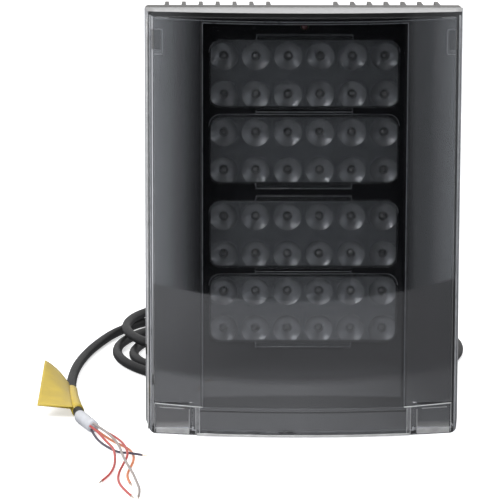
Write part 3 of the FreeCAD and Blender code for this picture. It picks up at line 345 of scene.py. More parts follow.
def make_materials():
    """One material for each material slot of the record by the slot's name, and the fine coats."""
    MATERIALS.update({
        "housing_paint": paint_material(),
        "clear_cover": see_through("cover_clear", (0.985, 0.99, 1.0), 0.012, 1.50, cloud=18.0),
        "gasket_rubber": grained("gasket_rubber", (0.03, 0.03, 0.03), 0.6),
        "mask_black": gloss("mask_gloss", (0.004, 0.004, 0.0045), 0.08, spread=0.1, bump=0.005),
        "frame_black": gloss("frame_gloss", (0.0035, 0.0035, 0.004), 0.11, spread=0.15, bump=0.008),
        "clear_insert": see_through(
            "insert_hazy", (0.96, 0.97, 0.98), 0.13, 1.49,
            haze=0.012, haze_colour=(0.42, 0.44, 0.46), cloud=220.0,
        ),
        "clear_lens": grained(
            "cup_silver", (0.085, 0.085, 0.087), 0.34, metallic=0.9, spread=0.16, grain=1200.0,
        ),
        "light_board": grained("light_board", (0.03, 0.03, 0.032), 0.45, scale=200.0),
        "emitter": grained("emitter", (0.035, 0.030, 0.026), 0.2, scale=600.0, coat=0.6),
        "thermal_pad": grained("thermal_pad", (0.42, 0.43, 0.46), 0.8, bump=0.5),
        "zinc_steel": brushed("zinc_steel", (0.62, 0.61, 0.58), 0.32, (1.0, 1.0, 6.0)),
        "black_steel": brushed("black_steel", (0.10, 0.10, 0.10), 0.38, (6.0, 1.0, 1.0)),
        "driver_laminate": laminate_material(),
        "capacitor_can": grained("capacitor_sleeve", (0.03, 0.03, 0.05), 0.35),
        "choke_core": grained("choke_core", (0.22, 0.09, 0.03), 0.35, metallic=0.7, scale=500.0, bump=0.6),
        "chip_black": grained("chip_black", (0.02, 0.02, 0.021), 0.55),
        "terminal_green": grained("terminal_green", (0.04, 0.26, 0.09), 0.45),
        "photocell_red": grained("photocell_red", (0.030, 0.006, 0.006), 0.2, coat=0.3),
        "inner_wire": grained("inner_wire", (0.38, 0.02, 0.02), 0.45),
        "cable_black": cable_material(),
        "gland_black": grained("gland_nylon", (0.03, 0.03, 0.03), 0.42, bump=0.35),
        "label_yellow": label_material(),
        "sleeve_white": grained(
            "sleeve_white", (0.52, 0.53, 0.56), 0.45, spread=0.06, scale=160.0, bump=0.35,
        ),
        "core_black": twisted_core("core_black", (0.035, 0.022, 0.045)),
        "core_red": twisted_core("core_red", (0.45, 0.045, 0.035)),
        "core_orange": twisted_core("core_orange", (0.60, 0.17, 0.05)),
        "core_grey": twisted_core("core_grey", (0.30, 0.26, 0.24)),
        "tinned_strands": brushed("tinned_strands", (0.72, 0.60, 0.50), 0.35, (1.0, 1.0, 1.0)),
        "clip_face": gloss("clip_face", (0.020, 0.0205, 0.021), 0.08, spread=0.1, bump=0.005),
        "dome": grained("dome", (0.02, 0.018, 0.016), 0.08, scale=600.0, coat=0.8),
        # The chambers' backs: dark metal with a painted reflection of the white floor at the foot
        "chamber_left": chamber_material("chamber_left", (0.032, 0.029, 0.028), (0.24, 0.232, 0.224)),
        "chamber_right": chamber_material("chamber_right", (0.030, 0.031, 0.033), (0.23, 0.226, 0.214)),
    })
    MATERIALS["bracket_paint"] = MATERIALS["housing_paint"]
    for name, (colour, roughness, scale) in FINE_COATS.items():
        MATERIALS[name] = grained(name, colour, roughness, scale=scale)


def dress_nodes():
    """Every CAD node takes the material of its slot, and some get softened edges."""
    slots = {part["node"]: part["material_slot"] for part in frame["record"]["subparts"]}
    for name, piece in frame["nodes"].items():
        piece.data.materials.clear()
        piece.data.materials.append(MATERIALS[DARKER.get(name, slots[name])])
        if name in SOFT_EDGES:
            soften(piece, SOFT_EDGES[name] * MM)


# Mesh helpers


def mesh_piece(name, build, slot, material=None, smooth=True):
    """A piece that build() fills in metres, with a slot's material or its own, on the housing."""
    mesh = bpy.data.meshes.new(name)
    work = bmesh.new()
    build(work)
    bmesh.ops.recalc_face_normals(work, faces=work.faces)
    work.to_mesh(mesh)
    work.free()
    for face in mesh.polygons:
        face.use_smooth = smooth
    return add_piece(name, mesh, slot, material)


def add_piece(name, data, slot, material=None):
    piece = bpy.data.objects.new(name, data)
    bpy.context.scene.collection.objects.link(piece)
    data.materials.append(material or MATERIALS[slot])
    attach(piece, "housing")
    return piece


def soften(piece, width):
    """A narrow bevel on the sharp edges, so that they catch the light."""
    bevel = piece.modifiers.new("soft_edges", "BEVEL")
    bevel.width = width
    bevel.segments = 2
    bevel.limit_method = "ANGLE"
    bevel.angle_limit = math.radians(40.0)
    bevel.harden_normals = False


def join_rings(work, rings):
    """Faces from each closed ring of corners to the next."""
    count = len(rings[0])
    for low, high in zip(rings, rings[1:]):
        for k in range(count):
            j = (k + 1) % count
            work.faces.new((low[k], low[j], high[j], high[k]))


def join_grid(work, grid):
    """Faces between the neighbours in rows of corners."""
    for low, high in zip(grid, grid[1:]):
        for j in range(len(low) - 1):
            work.faces.new((low[j], low[j + 1], high[j + 1], high[j]))


def lathe(work, profile, place, steps):
    """Turns a profile of (radius, height) in millimetres about the local axis of a placement."""
    rings = []
    for radius, height in profile:
        ring = []
        for k in range(steps):
            angle = 2 * math.pi * k / steps
            point = Vector((radius * math.cos(angle), radius * math.sin(angle), height))
            ring.append(work.verts.new(place @ (point * MM)))
        rings.append(ring)
    join_rings(work, rings)


def sweep(work, path, radii, steps=28, across=Vector((0, 0, 1))):
    """A round skin with closed ends along a path that never runs along across, with a radius in
    millimetres at each point."""
    rings = []
    for k, (point, radius) in enumerate(zip(path, radii)):
        way = (path[min(k + 1, len(path) - 1)] - path[max(k - 1, 0)]).normalized()
        side = way.cross(across).normalized()
        top = side.cross(way)
        ring = []
        for j in range(steps):
            angle = 2 * math.pi * j / steps
            out = side * math.cos(angle) + top * math.sin(angle)
            ring.append(work.verts.new(point + out * (radius * MM)))
        rings.append(ring)
    join_rings(work, rings)
    work.faces.new(list(reversed(rings[0])))
    work.faces.new(rings[-1])


def facing_front(point):
    """A placement at a point whose local +z looks out of the front, along -y."""
    return Matrix.Translation(point) @ Matrix.Rotation(math.radians(90), 4, "X")


# Cable

CABLE_D = 6.0
LEAD = [
    (0.0, 80.0, 26.0), (0.0, 91.0, 26.0), (1.5, 103.0, 22.8), (6.0, 114.0, 17.8), (13.5, 124.0, 14.4),
    (21.5, 132.0, 12.8),
]
# Each loose turn: how far round it is, its centre, its radius and the height of the cable's middle
TURNS = [
    (-52.0, -9.0, 255.0, 98.0, 10.6),
    (0.0, -9.0, 255.0, 98.0, 9.8),
    (100.0, -9.0, 255.0, 98.0, 8.8),
    (180.0, -9.0, 255.0, 98.0, 9.7),
    (330.0, -15.0, 242.0, 90.0, 9.7),
    (420.0, -28.0, 222.0, 74.0, 6.2),
    (540.0, -37.0, 203.0, 64.0, 3.05),
    (900.0, -7.0, 212.0, 105.0, 3.05),
    (1222.0, -3.0, 226.0, 118.0, 3.05),
]
TURN_STEP = 18.0
TAIL = [
    (-102.0, 291.0, 3.05), (-114.5, 266.0, 3.05), (-123.0, 237.0, 3.05), (-130.5, 203.0, 3.05),
    (-135.8, 163.0, 3.15), (-137.2, 114.0, 3.62), (-134.0, 67.0, 3.62), (-127.6, 26.5, 3.75),
]
SLEEVE_WAY = Vector((8.1, -23.9, 0.0)).normalized()
SLEEVE_LENGTH = 25.0
SLEEVE_OVERLAP = 4.0
SLEEVE_R = 3.7
SLEEVE_END_R = 3.25
SLEEVE_STEPS = 12
FLAG_NEAR_Y = 41.0
FLAG_FAR_Y = 99.0
FLAG_R = 3.65
SHEET = 0.25


def turn_points():
    """The loose turns behind the unit, one after another, each with its own centre and size."""
    # The curve cuts the corners between its points, so they stand a little outside it
    widen = 1 / (0.5 + 0.5 * math.cos(math.radians(TURN_STEP / 2)))
    first, last = TURNS[0][0], TURNS[-1][0]
    count = int((last - first) / TURN_STEP)
    points = []
    for k in range(count + 1):
        angle = first + (last - first) * k / count
        for low, high in zip(TURNS, TURNS[1:]):
            if low[0] <= angle <= high[0]:
                break
        share = (angle - low[0]) / (high[0] - low[0])
        ease = share * share * (3 - 2 * share)
        x, y, radius, z = (a + (b - a) * ease for a, b in zip(low[1:], high[1:]))
        way = math.radians(angle)
        points.append((x + radius * widen * math.cos(way), y + radius * widen * math.sin(way), z))
    return points


def spline_curve(name, points, radius):
    """A round cord along a smooth curve, which passes near its points."""
    curve = bpy.data.curves.new(name, "CURVE")
    curve.dimensions = "3D"
    curve.bevel_depth = 1.0
    curve.bevel_resolution = 5
    curve.resolution_u = 10
    curve.use_fill_caps = True
    spline = curve.splines.new("NURBS")
    spline.points.add(len(points) - 1)
    for knot, point in zip(spline.points, points):
        knot.co = (*at(*point), 1.0)
        knot.radius = radius * MM
    spline.order_u = 3
    spline.use_endpoint_u = True
    return curve


def centreline(piece):
    """The points that a curve's own spline follows."""
    depth = piece.data.bevel_depth
    piece.data.bevel_depth = 0.0
    line = bpy.data.meshes.new_from_object(piece)
    piece.data.bevel_depth = depth
    points = [v.co.copy() for v in line.vertices]
    bpy.data.meshes.remove(line)
    return points


def make_sleeve():
    """The light sleeve over the cable's end, slightly uneven and narrower at both of its ends."""
    end, before = at(*TAIL[-1]), at(*TAIL[-2])
    arriving = (end - before).normalized()
    path = [end - arriving * (SLEEVE_OVERLAP * share * MM) for share in (1.0, 0.5)]
    path += [end + SLEEVE_WAY * (SLEEVE_LENGTH * MM * k / SLEEVE_STEPS) for k in range(SLEEVE_STEPS + 1)]
    radii = []
    for k in range(len(path)):
        shoulder = min(1.0, min(k, len(path) - 1 - k) / 1.5)
        radii.append(SLEEVE_END_R + (SLEEVE_R - SLEEVE_END_R) * shoulder + 0.06 * math.sin(2.1 * k))
    sleeve = mesh_piece("end_sleeve", lambda work: sweep(work, path, radii), "sleeve_white")
    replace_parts(sleeve, "cable_end_sleeve")
    return sleeve


def make_cable():
    points = LEAD + turn_points() + TAIL
    cable = add_piece("supply_cable", spline_curve("supply_cable", points, CABLE_D / 2), "cable_black")
    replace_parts(cable, "cable_lead", "cable_coil", "cable_tail")
    line = centreline(cable)
    sleeve = make_sleeve()
    flag = make_flag(line)


# Label on the cable: two leaves between the wrap and a raised far corner

FAR_TIP = (-151.8, 99.0, 21.6)
NEAR_TIP = (-153.7, 42.0, 7.0)
LOWER_FAR_ROOT = (-139.6, 99.0, 2.6)
UPPER_FAR_ROOT = (-137.4, 99.5, 7.0)
UPPER_FAR_BEND = (-144.2, 100.5, 17.4)
LOWER_NEAR_ROOT = (-133.2, 41.0, 5.2)
UPPER_NEAR_ROOT = (-132.6, 41.0, 6.1)
LEAF_STEPS = 14
LEAF_WAVE = 0.35


def halfway(a, b, raised=0.0):
    return ((a[0] + b[0]) / 2, (a[1] + b[1]) / 2, (a[2] + b[2]) / 2 + raised)


def leaf_middle(far_edge, near_edge):
    """Rows of points between two edges, each an arch over three points, with a soft wave."""
    def along(edge, t):
        a, b, c = (at(*p) for p in edge)
        return a * (1 - t) ** 2 + b * (2 * t * (1 - t)) + c * t ** 2

    grid = []
    for i in range(LEAF_STEPS + 1):
        s = i / LEAF_STEPS
        row = []
        for j in range(LEAF_STEPS + 1):
            t = j / LEAF_STEPS
            wave = LEAF_WAVE * math.sin(3.0 * s + 2.2 * t) * math.sin(math.pi * s) * math.sin(math.pi * t)
            row.append(along(far_edge, t) * (1 - s) + along(near_edge, t) * s + Vector((0, 0, wave * MM)))
        grid.append(row)
    return grid


def leaf(work, far_edge, near_edge):
    """A thin closed sheet between two edges."""
    grid = leaf_middle(far_edge, near_edge)
    layers = []
    for side in (-0.5, 0.5):
        layer = []
        for i, row in enumerate(grid):
            line = []
            for j, point in enumerate(row):
                di = grid[min(i + 1, LEAF_STEPS)][j] - grid[max(i - 1, 0)][j]
                dj = grid[i][min(j + 1, LEAF_STEPS)] - grid[i][max(j - 1, 0)]
                normal = di.cross(dj).normalized()
                line.append(work.verts.new(point + normal * (SHEET * MM * side)))
            layer.append(line)
        join_grid(work, layer)
        layers.append(layer)
    border = [(i, 0) for i in range(LEAF_STEPS)] + [(LEAF_STEPS, j) for j in range(LEAF_STEPS)]
    border += [(i, LEAF_STEPS) for i in range(LEAF_STEPS, 0, -1)] + [(0, j) for j in range(LEAF_STEPS, 0, -1)]
    join_rings(work, [[layer[i][j] for i, j in border] for layer in layers])


def make_flag(line):
    path = [p for p in line if FLAG_NEAR_Y <= rim_y(p.y) <= FLAG_FAR_Y and p.x < at(-100, 0, 0).x]

    def build(work):
        sweep(work, path, [FLAG_R] * len(path))
        far = (LOWER_FAR_ROOT, halfway(LOWER_FAR_ROOT, FAR_TIP), FAR_TIP)
        near = (LOWER_NEAR_ROOT, halfway(LOWER_NEAR_ROOT, NEAR_TIP, 0.3), NEAR_TIP)
        leaf(work, far, near)
        far = (UPPER_FAR_ROOT, UPPER_FAR_BEND, FAR_TIP)
        near = (UPPER_NEAR_ROOT, halfway(LOWER_NEAR_ROOT, NEAR_TIP, 0.7), NEAR_TIP)
        leaf(work, far, near)

    flag = mesh_piece("cable_label", build, "label_yellow")
    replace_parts(flag, "cable_flag")
    return flag


# Core wires

CORE_R = 0.7
CORE_CIRCLE = 2.1
CORE_GAP = 0.25
CORES = {
    "core_wire_black": (310.0, "core_black", [
        (-118.4, -10.5, 1.4), (-114.2, -24.0, 0.8), (-109.0, -36.0, 0.8), (-103.9, -46.0, 1.0),
        (-98.0, -52.5, 2.5), (-90.5, -57.5, 2.5),
    ]),
    "core_wire_red_left": (20.0, "core_red", [
        (-116.8, -9.5, 4.2), (-111.6, -26.5, 2.6), (-107.2, -41.0, 2.5), (-105.8, -55.0, 2.4),
        (-105.4, -70.0, 1.0), (-106.3, -84.0, 0.8), (-108.4, -97.0, 0.8), (-111.5, -107.0, 0.8),
    ]),
    "core_wire_red_right": (160.0, "core_red", [
        (-112.6, -9.0, 4.0), (-106.8, -21.0, 4.0), (-102.2, -34.0, 3.9), (-99.6, -48.0, 3.9),
        (-98.4, -62.0, 3.6), (-100.6, -77.0, 2.4), (-103.0, -92.0, 1.0), (-102.8, -108.0, 0.8),
        (-99.6, -124.0, 0.8), (-95.0, -138.0, 0.8),
    ]),
    "core_wire_orange": (232.0, "core_orange", [
        (-112.6, -9.5, 1.2), (-106.0, -23.0, 0.8), (-98.6, -36.0, 0.8), (-95.4, -51.0, 0.8),
        (-95.4, -66.0, 0.8), (-97.2, -82.0, 0.8), (-98.6, -99.0, 0.8), (-96.0, -113.0, 0.8),
    ]),
    "core_wire_grey": (90.0, "core_grey", [
        (-115.0, -9.0, 6.0), (-109.2, -24.0, 5.6), (-104.6, -39.0, 4.6), (-102.4, -54.0, 4.2),
        (-101.0, -69.0, 4.6), (-98.4, -84.0, 4.2), (-95.0, -98.0, 2.8), (-92.4, -112.0, 0.8),
        (-90.6, -126.0, 0.8), (-91.2, -139.0, 0.8),
    ]),
}
TIP_LENGTH = 5.0
TIP_INSIDE = 1.0
TIP_R = 0.48
# How thick a tinned tip is along its length, as a share of its radius
TIP_SHAPE = (1.0, 1.0, 1.05, 0.95, 1.0, 0.85, 0.6)


def make_tip(name, slot, line):
    """The bare tinned end of a core, from a little inside its cover."""
    ahead = (line[-1] - line[-3]).normalized()
    steps = len(TIP_SHAPE) - 1
    reach = TIP_LENGTH + TIP_INSIDE
    path = [line[-1] + ahead * ((reach * k / steps - TIP_INSIDE) * MM) for k in range(steps + 1)]
    radii = [TIP_R * share for share in TIP_SHAPE]
    tinned = MATERIALS["tinned_strands"]
    return mesh_piece(name, lambda work: sweep(work, path, radii, steps=12), slot, tinned)


def make_cores():
    across = SLEEVE_WAY.cross(Vector((0, 0, 1)))
    end = Vector(TAIL[-1]) + SLEEVE_WAY * (SLEEVE_LENGTH + CORE_GAP)
    for node, (angle, slot, route) in CORES.items():
        way = math.radians(angle)
        start = end + across * (CORE_CIRCLE * math.cos(way)) + Vector((0, 0, CORE_CIRCLE * math.sin(way)))
        name = node.replace("core_wire_", "lead_")
        core = add_piece(name, spline_curve(name, [tuple(start)] + route, CORE_R), slot)
        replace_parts(core, node)
        # Left out of reflections and of what clear pieces bend, where so fine a line leaves specks
        core.visible_glossy = core.visible_transmission = False
        line = centreline(core)
        tip = make_tip(name + "_tip", slot, line)


# Light cups

COLUMN_PITCH = 18.08
COLUMNS = 6
ROW_PITCH = 21.7
ROW_DROP = 1.0
CUP_MOUTH_Y = 14.3
CUP_MOUTH_R = 7.9
CUP_EYE_R = 2.6
CUP_DISH_R = 12.2
CUP_STEPS = 40
DOME_R = 2.2
DOME_DEPTH = 5.4
DOME_STEPS = 20
PLATE_HALF = (53.0, 19.0)
PLATE_INSET = 0.2
PLATE_THICK = 1.7


def dish_profile():
    """The dished face of one cup, from its mouth to the eye in the middle, and its outside."""
    def depth(radius):
        return math.sqrt(CUP_DISH_R ** 2 - CUP_MOUTH_R ** 2) - math.sqrt(CUP_DISH_R ** 2 - radius ** 2)

    face = []
    for k in range(11):
        radius = CUP_MOUTH_R + (CUP_EYE_R - CUP_MOUTH_R) * k / 10
        face.append((radius, depth(radius)))
    eye = [(CUP_EYE_R * 0.93, depth(CUP_EYE_R) - 2.6), (CUP_EYE_R * 0.9, depth(CUP_EYE_R) - 4.2)]
    back = [(4.1, -9.5), (CUP_MOUTH_R - 0.6, -1.2), (CUP_MOUTH_R + 0.15, -0.6)]
    return face + eye + back + face[:1]


def dome_profile():
    """The emitter's dome at the bottom of a cup's eye."""
    profile = [(DOME_R, -1.0)]
    for degrees in (2, 20, 40, 60, 78):
        angle = math.radians(degrees)
        profile.append((DOME_R * math.cos(angle), DOME_R * math.sin(angle)))
    return profile + [(0.05, DOME_R)]


def cup_places(row_z):
    """Each cup's place across and up, its row's side of the middle and its column."""
    for row in (-0.5, 0.5):
        for column in range(COLUMNS):
            yield COLUMN_PITCH * (column - (COLUMNS - 1) / 2), row_z + row * ROW_PITCH, row, column


def turned(row_z, profile, y, steps):
    """A build function that turns a profile at each cup."""
    def build(work):
        for x, z, row, column in cup_places(row_z):
            lathe(work, profile, facing_front(at(x, y, z)), steps)

    return build


def holed_panel(work, x, z, left, right, low, high):
    """The part of the plate round one cup: a round hole with a wall in a rectangle."""
    y = CUP_MOUTH_Y + PLATE_INSET
    hole, rim, back = [], [], []
    for k in range(CUP_STEPS):
        angle = 2 * math.pi * (k + 0.5) / CUP_STEPS
        c, t = math.cos(angle), math.sin(angle)
        reach = min(
            (right - x) / c if c > 0 else (left - x) / c,
            (high - z) / t if t > 0 else (low - z) / t,
        )
        hole.append(work.verts.new(at(x + CUP_MOUTH_R * c, y, z + CUP_MOUTH_R * t)))
        rim.append(work.verts.new(at(x + reach * c, y, z + reach * t)))
        back.append(work.verts.new(at(x + CUP_MOUTH_R * c, y + PLATE_THICK, z + CUP_MOUTH_R * t)))
    corners = [work.verts.new(at(cx, y, cz)) for cx in (left, right) for cz in (low, high)]
    join_rings(work, [hole, back])
    for k in range(CUP_STEPS):
        j = (k + 1) % CUP_STEPS
        a, b = rim[k].co, rim[j].co
        if abs(a.x - b.x) > 1e-6 and abs(a.z - b.z) > 1e-6:
            corner = min(corners, key=lambda v: (v.co - a).length + (v.co - b).length)
            work.faces.new((hole[k], rim[k], corner, rim[j], hole[j]))
        else:
            work.faces.new((hole[k], rim[k], rim[j], hole[j]))


def holed_plate(row_z, centre_z):
    """A build function for the dark plate that carries the cups, with a round hole at each."""
    def build(work):
        for x, z, row, column in cup_places(row_z):
            left = -PLATE_HALF[0] if column == 0 else x - COLUMN_PITCH / 2
            right = PLATE_HALF[0] if column == COLUMNS - 1 else x + COLUMN_PITCH / 2
            low = centre_z - PLATE_HALF[1] if row < 0 else row_z
            high = centre_z + PLATE_HALF[1] if row > 0 else row_z
            holed_panel(work, x, z, left, right, low, high)

    return build


def make_cups():
    for number in range(1, 5):
        node = f"collimator_array_{number}"
        low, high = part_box(node)
        centre_z = (low.z + high.z) / 2 / MM
        row_z = centre_z - ROW_DROP
        cups = turned(row_z, dish_profile(), CUP_MOUTH_Y, CUP_STEPS)
        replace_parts(mesh_piece(f"light_cups_{number}", cups, "clear_lens"), node)
        plate, black = holed_plate(row_z, centre_z), MATERIALS["plate_black"]
        mesh_piece(f"cup_plate_{number}", plate, "clear_lens", black, smooth=False)
        domes = turned(row_z, dome_profile(), CUP_MOUTH_Y + DOME_DEPTH, DOME_STEPS)
        mesh_piece(f"emitter_domes_{number}", domes, "emitter", MATERIALS["dome"])


# The front: clear chambers in the cover's lower corners with painted floor light, and painted highlight lines
# where edges catch the light

FRONT_BULGE = 10.4
FRONT_HALF = 87.5
FRONT_R = (FRONT_BULGE ** 2 + FRONT_HALF ** 2) / (2 * FRONT_BULGE)
FRONT_STEPS = 24
COVER_WALL = 3.0
MASK_INSET = 3.4
CHAMBER_X = (64.8, 83.6)
CHAMBER_Z = (3.4, 17.3)
CHAMBER_PLATE_Y = 5.2
CHAMBER_PLATE_SAG = 0.12
CHAMBER_ROWS, CHAMBER_COLUMNS = 10, 6
RIB_X = (58.9, 61.0)
RIB_FOOT_Z = 1.6
STRIP_X = 60.4
SIDE_EDGE_X = 86.3
RIM_EDGE_X = 88.2
WINDOW_X = 58.4
WINDOW_Z = (16.4, 237.1)
LIP = 1.2
MASK_TOP_X = 83.6
MASK_TOP_Z = 238.0
CLIP_X = (79.3, 84.2)
CLIP_Z = (217.9, 231.9)
CLIP_CORNER = 0.8


def front_y(x, inset):
    """How deep the bowed front lies at a place across it, at an inset from its outer face."""
    return FRONT_R - FRONT_BULGE - math.sqrt((FRONT_R - inset) ** 2 - x * x)


def along_front(ends, inset, sag=0.0):
    """Points on the bowed front between two ends, given by their place across and their height. The
    middle may sag a little."""
    (x0, z0), (x1, z1) = ends
    points = []
    for k in range(FRONT_STEPS + 1):
        t = k / FRONT_STEPS
        x = x0 + (x1 - x0) * t
        points.append(at(x, front_y(x, inset), z0 + (z1 - z0) * t - 4 * sag * t * (1 - t)))
    return points


def bead(work, path, radius):
    """A fine round line along a path that lies across the front."""
    sweep(work, path, [radius] * len(path), steps=8, across=Vector((0, 1, 0)))


def front_lines(name, lines, inset, radius, slot, material, sag=0.0):
    """One piece of beads along the front, each between two ends."""
    def build(work):
        for ends in lines:
            bead(work, along_front(ends, inset, sag), radius)

    mesh_piece(name, build, slot, MATERIALS[material])


def front_strips(name, strips, slot, material):
    """One piece of flat strips along the front, each between two ends and with a size across them."""
    def build(work):
        for ends, (wide, high), inset in strips:
            line = along_front(ends, inset)
            offset = Vector((wide * MM, 0, high * MM))
            join_grid(work, [[work.verts.new(p), work.verts.new(p + offset)] for p in line])

    mesh_piece(name, build, slot, MATERIALS[material])


def chamber_back(side):
    """The metal seen through a clear corner chamber, hollowed a little, with a painted reflection of the
    white floor at its foot.
    """
    def build(work):
        grid = []
        for i in range(CHAMBER_ROWS + 1):
            up = i / CHAMBER_ROWS
            z = CHAMBER_Z[0] + (CHAMBER_Z[1] - CHAMBER_Z[0]) * up
            line = []
            for j in range(CHAMBER_COLUMNS + 1):
                out = j / CHAMBER_COLUMNS
                x = side * (CHAMBER_X[0] + (CHAMBER_X[1] - CHAMBER_X[0]) * out)
                sag = CHAMBER_PLATE_SAG * math.sin(math.pi * up) * math.sin(math.pi * out)
                line.append(work.verts.new(at(x, CHAMBER_PLATE_Y - sag, z)))
            grid.append(line)
        join_grid(work, grid)

    return build


def mirrored(side, *points):
    return tuple((side * x, z) for x, z in points)


def make_corner(side, name):
    """A lower corner chamber with its back, painted highlight lines on its ribs and its top, and a painted
    highlight line on the cover's side edge above it.
    """
    mesh_piece(f"chamber_back_{name}", chamber_back(side), "housing_paint", MATERIALS["chamber_" + name])
    # Painted highlights: light lines where the clear ribs' edges catch the light
    lines = [
        mirrored(side, (RIB_X[0], RIB_FOOT_Z), (RIB_X[0], 16.0)),
        mirrored(side, (RIB_X[1], RIB_FOOT_Z), (RIB_X[1], 17.0)),
        mirrored(side, (64.7, 2.0), (64.7, 15.2)),
        mirrored(side, (67.5, 15.6), (82.0, 15.8)),
        mirrored(side, (84.3, 2.0), (84.3, 17.6)),
    ]
    front_lines(f"rib_highlights_{name}", lines, COVER_WALL + 0.12, 0.26, "clear_cover", "rib_highlight")
    # Painted highlight: a bright line along the chamber's top edge
    top = [mirrored(side, (57.2, 16.7), (84.4, 18.0))]
    front_lines(f"chamber_top_{name}", top, COVER_WALL + 0.1, 0.34, "clear_cover", "chamber_top_highlight")
    # Painted highlight: a light line along the cover's side edge
    edge = [mirrored(side, (SIDE_EDGE_X, 2.0), (SIDE_EDGE_X, 240.0))]
    front_lines(f"cover_side_highlight_{name}", edge, 1.6, 0.5, "clear_cover", "side_highlight")


def make_clip(side, name):
    """The painted highlight outline of a side clip, and the flush face over it."""
    inner, outer = CLIP_X
    low, high = CLIP_Z
    corner = (inner + CLIP_CORNER, high), (inner, high - CLIP_CORNER)
    outline = mirrored(side, (outer, high), *corner, (inner, low), (outer, low))
    lines = list(zip(outline, outline[1:]))
    # Painted highlight: light lines along the clip's outline
    front_lines(f"clip_highlight_{name}", lines, MASK_INSET - 0.05, 0.25, "mask_black", "clip_highlight")
    face = (mirrored(side, (inner, low), (outer - 0.2, low)), (0, high - low), MASK_INSET - 0.02)
    front_strips(f"clip_face_{name}", [face], "mask_black", "clip_face")


def make_strips():
    """The flat strips of the front: painted light at its foot and at the chambers' feet, painted light on the
    ribs' faces, and the window's lip.
    """
    # Painted light: a grey band over the mask's foot for the dim floor light in the cover's clear bottom wall
    foot = (((-STRIP_X, 1.7), (STRIP_X, 1.7)), (0, 2.1), COVER_WALL + 0.15)
    front_strips("foot_light_band", [foot], "mask_black", "foot_light_band")
    feet, ribs, lips = [], [], []
    low, high = WINDOW_Z
    for side in (-1, 1):
        feet.append((mirrored(side, (CHAMBER_X[0], 1.5), (CHAMBER_X[1], 1.5)), (0, 2.6), COVER_WALL + 0.2))
        ribs.append((mirrored(side, (59.1, RIB_FOOT_Z), (59.1, 16.6)), (side * 1.8, 0), COVER_WALL + 0.3))
        upright = mirrored(side, (WINDOW_X - LIP, low), (WINDOW_X - LIP, high - LIP))
        lips.append((upright, (side * (LIP + 0.6), 0), MASK_INSET + 0.5))
    level = ((-WINDOW_X, high - LIP), (WINDOW_X, high - LIP))
    lips.append((level, (0, LIP + 0.6), MASK_INSET + 0.5))
    # Painted light: pale strips for the floor light seen in the chambers' clear feet
    front_strips("chamber_foot_lights", feet, "clear_cover", "chamber_foot_light")
    # Painted light: grey faces for the light seen in the clear ribs
    front_strips("rib_face_lights", ribs, "clear_cover", "rib_face_light")
    front_strips("window_lip", lips, "mask_black", "groove")


def across_front(half, z):
    return [((-half, z), (half, z))]


def make_front_lines():
    """The fine lines round the window and along the mask's and the cover's edges: painted highlight lines,
    and dark grooves.
    """
    inner, low, top = WINDOW_X - LIP, WINDOW_Z[0], WINDOW_Z[1] - LIP
    window = [((-inner, low), (-inner, top)), ((inner, low), (inner, top)), ((-inner, low), (inner, low))]
    depth = MASK_INSET + 0.4
    # Painted highlights: light lines where the edges of the mask's window catch the light
    front_lines("window_highlight", window, depth, 0.24, "mask_black", "mask_highlight")
    front_lines("window_top_highlight", across_front(inner, top), depth, 0.24, "mask_black", "mask_highlight", sag=0.4)
    # Painted highlight: a light line along the mask's top edge
    mask_top = across_front(MASK_TOP_X, MASK_TOP_Z)
    front_lines("mask_top_highlight", mask_top, MASK_INSET, 0.3, "mask_black", "mask_highlight", sag=1.2)
    groove = across_front(76.0, MASK_TOP_Z + 0.9)
    front_lines("mask_top_groove", groove, MASK_INSET - 0.2, 0.5, "mask_black", "groove")
    groove = across_front(58.6, 14.6)
    front_lines("window_foot_groove", groove, MASK_INSET - 0.1, 0.5, "mask_black", "groove")
    # Painted highlight: a light line for the light gathered in the cover's clear foot
    front_lines("cover_foot_highlight", across_front(60.6, 1.1), 1.3, 0.8, "clear_cover", "foot_highlight")
    # Painted highlight: a light line along the cover's side rim
    rim = [((-RIM_EDGE_X, 3.0), (-RIM_EDGE_X, 238.0))]
    front_lines("cover_rim_highlight", rim, 1.5, 0.45, "clear_cover", "rim_highlight")


# Painted highlight lines on the moulded edges of the lens inserts

INSERT_HALF = (53.5, 19.5)
INSERT_CORNER = 6.5
INSERT_LINE_Y = 9.7
TAB_HALF, LONG_TAB, SHORT_TAB = 27.25, 3.3, 1.2


def insert_outline(centre_z, up):
    """The upper edge of an insert's pad, and the tabs beyond its upper and lower edge."""
    half_x, half_z = INSERT_HALF
    pad = []
    for side, start in ((1, 0), (-1, 90)):
        for k in range(9):
            angle = math.radians(start + 90 * k / 8)
            x = side * (half_x - INSERT_CORNER) + INSERT_CORNER * math.cos(angle)
            pad.append((x, centre_z + half_z - INSERT_CORNER + INSERT_CORNER * math.sin(angle)))
    tabs = []
    for way, reach in ((1, LONG_TAB if up else SHORT_TAB), (-1, SHORT_TAB if up else LONG_TAB)):
        root, tip = centre_z + way * (half_z + 0.3), centre_z + way * (half_z + reach)
        tabs.append([(-TAB_HALF, root), (-TAB_HALF + 0.5, tip), (TAB_HALF - 0.5, tip), (TAB_HALF, root)])
    return [pad] + tabs


def make_insert_highlight(number, up):
    """The painted highlight line along the edges of an insert whose long tab points up or down."""
    low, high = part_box(f"lens_insert_{number}")
    spare = (high.z - low.z) / MM - 2 * INSERT_HALF[1]
    middle = (low.z + high.z) / 2 / MM - (0.5 if up else -0.5) * spare

    def build(work):
        for outline in insert_outline(middle, up):
            points = [at(x, INSERT_LINE_Y, z) for x, z in outline]
            for a, b in zip(points, points[1:]):
                bead(work, [a, b], 0.17)

    # Painted highlight lines round the insert's pad and tabs
    mesh_piece(f"insert_highlight_{number}", build, "clear_insert", MATERIALS["insert_highlight"])


